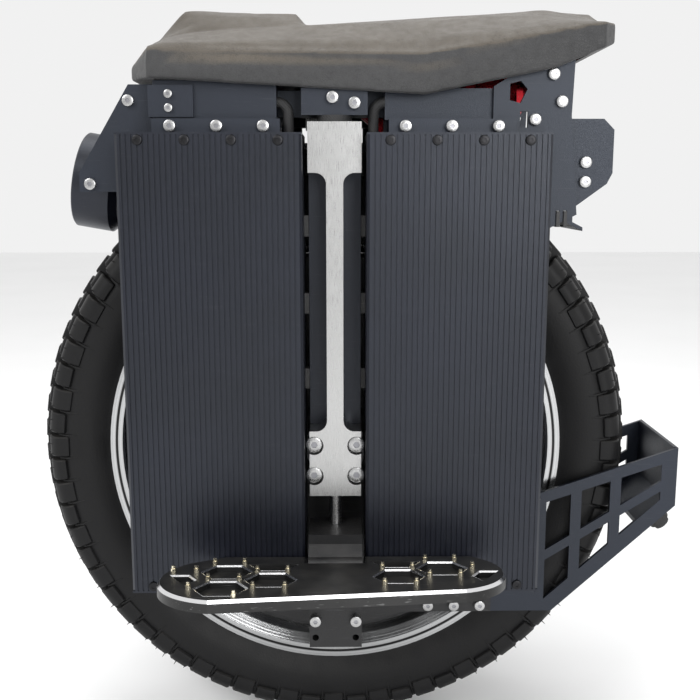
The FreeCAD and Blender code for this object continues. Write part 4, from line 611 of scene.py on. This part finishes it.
class UNICYCLE_OT_tyre(bpy.types.Operator):
    """Build the tyre: carcass, centre knobs, shoulder knobs with their side ribs, and moulding hairs"""
    bl_idname = "unicycle.tyre"
    bl_label = "Tread the tyre"

    def execute(self, context):
        settings = context.scene.unicycle_tyre
        top = TYRE_R - TYRE_CLEAR
        base = top - settings.knob_height
        carcass = profile_piece("tyre_tread", carcass_outline(base))
        spin_piece(carcass, settings.knobs * STEPS_PER_KNOB)
        pitch = 2 * math.pi / settings.knobs
        run = pitch * TYRE_R
        centre = block("centre_knob", [(0.0025, base - 0.001), (0.0175, base - 0.004), (0.0165, top - 0.0022),
                                       (0.0035, top)], run * CENTRE_RUN, 0.0009)
        middle = block("middle_knob", [(0.0195, base - 0.005), (0.0275, base - 0.008), (0.0265, top - 0.0065),
                                       (0.0205, top - 0.0045)], run * MIDDLE_RUN, 0.0008)
        shoulders = [block(f"shoulder_knob_{order}", [
            (0.0285, base - 0.010), (0.0352, base - foot), (0.0405, base - foot), (0.0415, base - 0.012),
            (0.0408, base - 0.0075), (0.0376, top - 0.0125), (0.0345, top - 0.0105), (0.0295, top - 0.009)],
            run * SHOULDER_RUN, 0.0011) for order, foot in enumerate(SHOULDER_FEET)]
        rib = block("side_rib", [(0.0375, base - 0.025), (0.0402, base - 0.025), (0.0408, base - 0.017),
                                 (0.0375, base - 0.009)], run * RIB_RUN, 0.0002)
        pieces = [carcass]
        even = [index * pitch for index in range(settings.knobs)]
        odd = [turn + pitch / 2 for turn in even]
        for mirror in (False, True):
            shift = pitch * (MIRROR_SHIFT if mirror else 0.0)
            near = [turn + shift for turn in even]
            gaps = [turn + shift for turn in odd]
            pieces += ring_copies(centre, gaps, mirror)
            pieces += ring_copies(middle, near, mirror)
            pieces += ring_copies(shoulders[0], near[::2], mirror)
            pieces += ring_copies(shoulders[1], near[1::2], mirror)
            pieces += ring_copies(rib, gaps, mirror)
        pieces += self.hairs(context, settings, even)
        for obj in (centre, middle, *shoulders, rib):
            bpy.data.objects.remove(obj)
        tyre = join("tyre_tread", pieces)
        pick(tyre)
        bpy.ops.object.shade_smooth_by_angle(angle=math.radians(32))
        dress(tyre, finish_of("tyre_rubber"))
        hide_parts("tyre")
        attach(tyre, "wheel")
        return {"FINISHED"}

    def hairs(self, context, settings, turns):
        """Thin moulding hairs on the shoulder knobs, except where the tyre meets the ground."""
        draw = random.Random(HAIR_SEED)
        hairs = []
        for turn in turns:
            for side in (-1, 1):
                for shift in HAIR_SHIFTS:
                    angle = turn + shift * turns[1]
                    length = settings.hair * draw.uniform(0.5, 1.0)
                    if math.cos(angle) < GROUND_SIDE or draw.random() < WORN_OFF:
                        continue
                    deselect()
                    start = HUB + Vector((0, side * HAIR_Y, TYRE_R - HAIR_SINK))
                    lean = Matrix.Rotation(-side * HAIR_LEAN, 4, "X")
                    bpy.ops.mesh.primitive_cone_add(vertices=4, radius1=HAIR_ROOT, radius2=HAIR_TIP,
                                                    depth=length)
                    hair = context.object
                    place = Matrix.Translation(start) @ lean @ Matrix.Translation((0, 0, length / 2))
                    round_axle = Matrix.Rotation(angle, 4, "Y")
                    about = Matrix.Translation(HUB) @ round_axle @ Matrix.Translation(-HUB)
                    hair.data.transform(about @ place)
                    hairs.append(hair)
        return hairs


# Behind this place the seat's cover is drawn in
TAIL_START = 0.15

# The held part of the cover: inside the side edge and under two lines that rise to the rear
SIDE_EDGE = 0.0045
HELD_RISE = 0.012
INNER_BEND, INNER_SLOPE = 0.066, 0.22
LOWER_BEND, LOWER_SLOPE = 0.09, 0.25
FOAM_PRESSURE = 4.0
FOAM_FRAMES = 12


class UNICYCLE_OT_seat(bpy.types.Operator):
    """Upholster the seat: draw in its cover's tail and fill it with foam pressure"""
    bl_idname = "unicycle.seat"
    bl_label = "Upholster the seat"

    def execute(self, context):
        settings = context.scene.unicycle_seat
        cad = NODES["seat_cushion"]
        seat = cad.copy()
        seat.data = cad.data.copy()
        seat.parent = None
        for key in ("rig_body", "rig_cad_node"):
            if key in seat:
                del seat[key]
        seat.name = "seat_cover"
        seat.data.name = "seat_cover"
        context.scene.collection.objects.link(seat)
        pick(seat)
        bpy.ops.object.mode_set(mode="EDIT")
        bpy.ops.mesh.select_all(action="SELECT")
        bpy.ops.mesh.remove_doubles(threshold=0.00005)
        bpy.ops.object.mode_set(mode="OBJECT")
        remesh = seat.modifiers.new("Even mesh", "REMESH")
        remesh.mode = "SHARP"
        remesh.octree_depth = settings.depth
        remesh.scale = 0.92
        remesh.sharpness = 1.0
        remesh.use_remove_disconnected = False
        apply_modifiers(seat)
        self.draw_in_tail(seat, settings)
        self.fill(context, seat, settings)
        smooth = seat.modifiers.new("Fine mesh", "SUBSURF")
        smooth.levels = 1
        smooth.render_levels = 1
        apply_modifiers(seat)
        bpy.ops.object.shade_smooth()
        dress(seat, finish_of("seat_cover"))
        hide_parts("seat_cushion")
        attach(seat, "chassis")
        return {"FINISHED"}

    def draw_in_tail(self, seat, settings):
        """Draws the cover in at its rear end, so that it ends a little before the solid cushion."""
        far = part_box("seat_cushion")[1][0]
        share = (settings.tail - TAIL_START) / (far - TAIL_START)
        for vertex in seat.data.vertices:
            vertex.co.x = min(vertex.co.x, TAIL_START) + max(0.0, vertex.co.x - TAIL_START) * share

    def fill(self, context, seat, settings):
        """Foam pressure on the outside of the cover, which stays put inside and along its lower edge."""
        rest = [vertex.co.copy() for vertex in seat.data.vertices]
        low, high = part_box("seat_cushion")
        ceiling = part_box("seat_base")[0][2]
        held = seat.vertex_groups.new(name="held")
        edge = high[1] - SIDE_EDGE
        fixed = []
        for index, point in enumerate(rest):
            inner = ceiling + HELD_RISE + max(0.0, point.x - INNER_BEND) * INNER_SLOPE
            lower = low[2] + HELD_RISE + max(0.0, point.x - LOWER_BEND) * LOWER_SLOPE
            if abs(point.y) < edge and point.z < inner or point.z < lower:
                fixed.append(index)
        held.add(fixed, 1.0, "REPLACE")
        cloth = seat.modifiers.new("Foam", "CLOTH")
        cloth.settings.use_pressure = True
        cloth.settings.uniform_pressure_force = FOAM_PRESSURE
        cloth.settings.effector_weights.gravity = 0.0
        cloth.settings.vertex_group_mass = "held"
        cloth.point_cache.frame_end = FOAM_FRAMES
        for step in range(1, FOAM_FRAMES + 1):
            context.scene.frame_set(step)
        filled = seat.evaluated_get(context.evaluated_depsgraph_get())
        moved = [vertex.co.copy() for vertex in filled.data.vertices]
        seat.modifiers.remove(cloth)
        for vertex, start, end in zip(seat.data.vertices, rest, moved):
            push = end - start
            if push.length > settings.swell:
                push *= settings.swell / push.length
            vertex.co = start + push
        context.scene.frame_set(1)


def islands(obj):
    """The separate solids of a node, as lists of points."""
    found = {}
    owner = {}

    def root(key):
        while owner[key] != key:
            owner[key] = owner[owner[key]]
            key = owner[key]
        return key

    keys = [tuple(round(value, 6) for value in vertex.co) for vertex in obj.data.vertices]
    for key in keys:
        owner.setdefault(key, key)
    for face in obj.data.polygons:
        first = root(keys[face.vertices[0]])
        for index in face.vertices[1:]:
            owner[root(keys[index])] = first
    for key in owner:
        found.setdefault(root(key), []).append(Vector(key))
    return list(found.values())


# A screw's face, in shares of its head's radius
SCREW_FACE = 0.22
SCREW_BEVEL = 0.14
SOCKET_INSET = 0.28
SOCKET_REACH = 0.42
SOCKET_DEPTH = 0.6 * SCREW_FACE
SCREW_NODES = {"chassis_screws": ("chassis", "steel"), "frame_screws": ("carrier", "steel"),
               "box_screws": ("chassis", "black_screws")}


def screw_face():
    """A screw's outer face, one unit in radius, with a bevelled rim and a hexagon socket."""
    deselect()
    bpy.ops.mesh.primitive_cylinder_add(vertices=24, radius=1.0, depth=SCREW_FACE)
    obj = bpy.context.object
    obj.data.transform(Matrix.Translation((0, 0, SCREW_FACE / 2)))
    bpy.ops.object.mode_set(mode="EDIT")
    mesh = bmesh.from_edit_mesh(obj.data)
    for edge in mesh.edges:
        edge.select_set(all(vertex.co.z > SCREW_FACE - 0.001 for vertex in edge.verts))
    bmesh.update_edit_mesh(obj.data)
    bpy.ops.mesh.bevel(offset=SCREW_BEVEL, segments=2, affect="EDGES")
    bpy.ops.mesh.select_all(action="DESELECT")
    mesh = bmesh.from_edit_mesh(obj.data)
    mesh.faces.ensure_lookup_table()
    top = max(mesh.faces, key=lambda face: (round(face.calc_center_median().z, 4), face.calc_area()))
    top.select_set(True)
    bmesh.update_edit_mesh(obj.data)
    bpy.ops.mesh.inset(thickness=SOCKET_INSET)
    mesh = bmesh.from_edit_mesh(obj.data)
    for vertex in mesh.verts:
        if vertex.select:
            turn = math.atan2(vertex.co.y, vertex.co.x) % (math.pi / 3) - math.pi / 6
            reach = SOCKET_REACH * math.cos(math.pi / 6) / math.cos(turn)
            vertex.co.xy = vertex.co.xy.normalized() * reach
    bmesh.update_edit_mesh(obj.data)
    bpy.ops.mesh.extrude_region_move(TRANSFORM_OT_translate={"value": (0, 0, -SOCKET_DEPTH)})
    bpy.ops.object.mode_set(mode="OBJECT")
    # Painted shade: the socket's faces take the darker plated steel
    obj.data.materials.append(finish_of("steel"))
    obj.data.materials.append(finish_of("magnet_steel"))
    for face in obj.data.polygons:
        inside = max(math.hypot(obj.data.vertices[index].co.x, obj.data.vertices[index].co.y)
                     for index in face.vertices)
        face.material_index = 1 if inside < SOCKET_REACH + 0.01 else 0
    bpy.ops.object.shade_smooth_by_angle(angle=math.radians(35))
    return obj


class UNICYCLE_OT_screws(bpy.types.Operator):
    """Give every outer screw head its rim and hexagon socket"""
    bl_idname = "unicycle.screws"
    bl_label = "Face the screws"

    def execute(self, context):
        pattern = screw_face()
        for node, (body, slot) in SCREW_NODES.items():
            faces = []
            for points in islands(NODES[node]):
                outer = max(points, key=lambda point: abs(point.y)).y
                head = [point for point in points if abs(abs(point.y) - abs(outer)) < 0.0001]
                middle = sum(head, Vector()) / len(head)
                radius = max(math.hypot(point.x - middle.x, point.z - middle.z) for point in head)
                side = 1 if outer > 0 else -1
                turn = Matrix.Rotation(-side * math.pi / 2, 4, "X")
                place = Matrix.Translation((middle.x, outer, middle.z)) @ turn @ Matrix.Scale(radius, 4)
                face = pattern.copy()
                face.data = pattern.data.copy()
                face.data.transform(place)
                face.data.materials[0] = finish_of(slot)
                if slot == "black_screws":
                    face.data.materials[1] = finish_of(slot)
                context.scene.collection.objects.link(face)
                faces.append(face)
            heads = join(f"{node}_faces", faces)
            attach(heads, body)
        bpy.data.objects.remove(pattern)
        return {"FINISHED"}


# Thickness of a cell's bright edge, as a share of its height
WALL_SHARE = 0.25


def cell_places(settings):
    """Centres of the pedal's honeycomb cells, with the corner that a cut-off cell starts from."""
    reach = settings.cell_r * 1.5
    rise = settings.cell_r * math.sqrt(3) / 2
    front, rear, x = settings.front_u, settings.rear_u, settings.cell_x
    whole, side = settings.pocket_r, settings.side_r
    return [(-x, front, None, whole), (-x, front + 2 * rise, None, whole),
            (-x + reach, front + rise, None, whole),
            (x, rear, None, whole), (x - reach, rear + rise, None, whole),
            (-x + reach, front - rise, 0, whole), (-x - reach, front + rise, 4, side),
            (x - reach, rear - rise, 0, whole), (x + reach, rear + rise, 2, side)]


class UNICYCLE_OT_pedal_cells(bpy.types.Operator):
    """Line the rims of the pedals' honeycomb cells with a bright machined edge"""
    bl_idname = "unicycle.pedal_cells"
    bl_label = "Edge the pedal cells"

    def execute(self, context):
        settings = context.scene.unicycle_pedals
        for body, side in (("left_pedal", -1), ("right_pedal", 1)):
            edges = [self.edge(context, settings, side, *cell) for cell in cell_places(settings)]
            rims = join(f"{body}_cell_edges", edges)
            tilt = Matrix.Rotation(side * settings.tilt, 4, "X")
            hinge = Matrix.Translation((0, side * settings.hinge_y, HUB.z + settings.hinge_z))
            rims.data.transform(hinge @ tilt)
            dress(rims, finish_of("pedal_edge"))
            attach(rims, body)
        return {"FINISHED"}

    def edge(self, context, settings, side, x, u, first, radius):
        """One cell's sloping rim, cut along its long diagonal where the cell is cut off."""
        deselect()
        bpy.ops.mesh.primitive_cone_add(vertices=6, radius1=radius - settings.edge, radius2=radius,
                                        depth=settings.edge, end_fill_type="NOTHING")
        rim = context.object
        rim.data.transform(Matrix.Rotation(math.pi / 6, 4, "Z"))
        wall = rim.modifiers.new("Wall", "SOLIDIFY")
        wall.thickness = settings.edge * WALL_SHARE
        wall.offset = 1.0
        apply_modifiers(rim)
        if first is not None:
            diagonal = first * math.pi / 3
            normal = Vector((-math.sin(diagonal), math.cos(diagonal), 0))
            bpy.ops.object.mode_set(mode="EDIT")
            bpy.ops.mesh.select_all(action="SELECT")
            bpy.ops.mesh.bisect(plane_co=(0, 0, 0), plane_no=normal, use_fill=True, clear_inner=True)
            bpy.ops.object.mode_set(mode="OBJECT")
        rim.data.transform(Matrix.Scale(side, 4, Vector((0, 1, 0))))
        if side < 0:
            rim.data.flip_normals()
        height = settings.top - settings.edge / 2 + settings.proud
        rim.data.transform(Matrix.Translation((x, side * u, height)))
        return rim


# Each light's name, place, power in watts and size
SOFTBOXES = (("key_light", (-1.3, -1.5, 1.7), 22, 0.9), ("fill_light", (0.9, -2.2, 0.9), 24, 1.0),
             ("top_light", (0.1, 0.1, 2.2), 22, 1.6))
LIGHT_AIM = Vector((0, 0, 0.3))
BACKDROP_STRENGTH = 0.88
FLOOR_SIZE = 12


class UNICYCLE_OT_stage(bpy.types.Operator):
    """Set the floor, the studio light and the camera"""
    bl_idname = "unicycle.stage"
    bl_label = "Set the stage"

    def execute(self, context):
        settings = context.scene.unicycle_stage
        deselect()
        bpy.ops.mesh.primitive_plane_add(size=FLOOR_SIZE, location=(0, 0, 0))
        floor = context.object
        floor.name = "studio_floor"
        finish, tree, sockets, vector, _ = start_finish("Pale studio floor", Roughness=0.7)
        surface = place_group(tree, "Surface grain", Vector=vector, Scale=40.0, Patches=2.0)
        tint = [channel * 0.97 for channel in settings.floor]
        tree.links.new(mix_colour(tree, surface["Tone"], tint, settings.floor), sockets["Base Color"])
        dress(floor, finish)
        world = bpy.data.worlds.new("Studio")
        world.use_nodes = True
        backdrop = world.node_tree.nodes["Background"].inputs
        backdrop["Color"].default_value = (1.0, 1.0, 1.0, 1)
        backdrop["Strength"].default_value = BACKDROP_STRENGTH
        context.scene.world = world
        context.scene.view_settings.view_transform = "Standard"
        for light in SOFTBOXES:
            self.softbox(context, *light)
        camera = bpy.data.cameras.new("photo_camera")
        camera.lens = settings.lens
        camera.sensor_width = 36
        camera.clip_start = 0.01
        holder = bpy.data.objects.new("photo_camera", camera)
        holder.location = settings.camera
        holder.rotation_euler = (math.pi / 2 - settings.pitch, 0, -settings.yaw)
        context.scene.collection.objects.link(holder)
        context.scene.camera = holder
        return {"FINISHED"}

    def softbox(self, context, name, place, power, size):
        light = bpy.data.lights.new(name, "AREA")
        light.energy = power
        light.size = size
        holder = bpy.data.objects.new(name, light)
        holder.location = place
        aim = LIGHT_AIM - Vector(place)
        holder.rotation_euler = aim.to_track_quat("-Z", "Y").to_euler()
        context.scene.collection.objects.link(holder)


class UNICYCLE_PT_panel(bpy.types.Panel):
    """Lists the steps that finish the unicycle"""
    bl_idname = "UNICYCLE_PT_panel"
    bl_label = "Electric unicycle"
    bl_space_type = "VIEW_3D"
    bl_region_type = "UI"
    bl_category = "Unicycle"

    def draw(self, context):
        scene = context.scene
        for step, settings in ((UNICYCLE_OT_finishes, None), (UNICYCLE_OT_tyre, scene.unicycle_tyre),
                               (UNICYCLE_OT_seat, scene.unicycle_seat), (UNICYCLE_OT_screws, None),
                               (UNICYCLE_OT_pedal_cells, scene.unicycle_pedals),
                               (UNICYCLE_OT_stage, scene.unicycle_stage)):
            box = self.layout.box()
            for name in settings.__annotations__ if settings else ():
                box.prop(settings, name)
            box.operator(step.bl_idname)


SETTINGS = {"unicycle_tyre": TyreSettings, "unicycle_seat": SeatSettings, "unicycle_pedals": PedalSettings,
            "unicycle_stage": StageSettings}
OPERATORS = (UNICYCLE_OT_finishes, UNICYCLE_OT_tyre, UNICYCLE_OT_seat, UNICYCLE_OT_screws,
             UNICYCLE_OT_pedal_cells, UNICYCLE_OT_stage)


def register():
    for name, kind in SETTINGS.items():
        bpy.utils.register_class(kind)
        setattr(bpy.types.Scene, name, PointerProperty(type=kind))
    for kind in (*OPERATORS, UNICYCLE_PT_panel):
        bpy.utils.register_class(kind)


def unregister():
    for kind in (UNICYCLE_PT_panel, *reversed(OPERATORS)):
        bpy.utils.unregister_class(kind)
    for name, kind in SETTINGS.items():
        delattr(bpy.types.Scene, name)
        bpy.utils.unregister_class(kind)


def main():
    register()
    bpy.ops.unicycle.finishes()
    bpy.ops.unicycle.tyre()
    bpy.ops.unicycle.seat()
    bpy.ops.unicycle.screws()
    bpy.ops.unicycle.pedal_cells()
    bpy.ops.unicycle.stage()


if __name__ == "__main__":
    main()
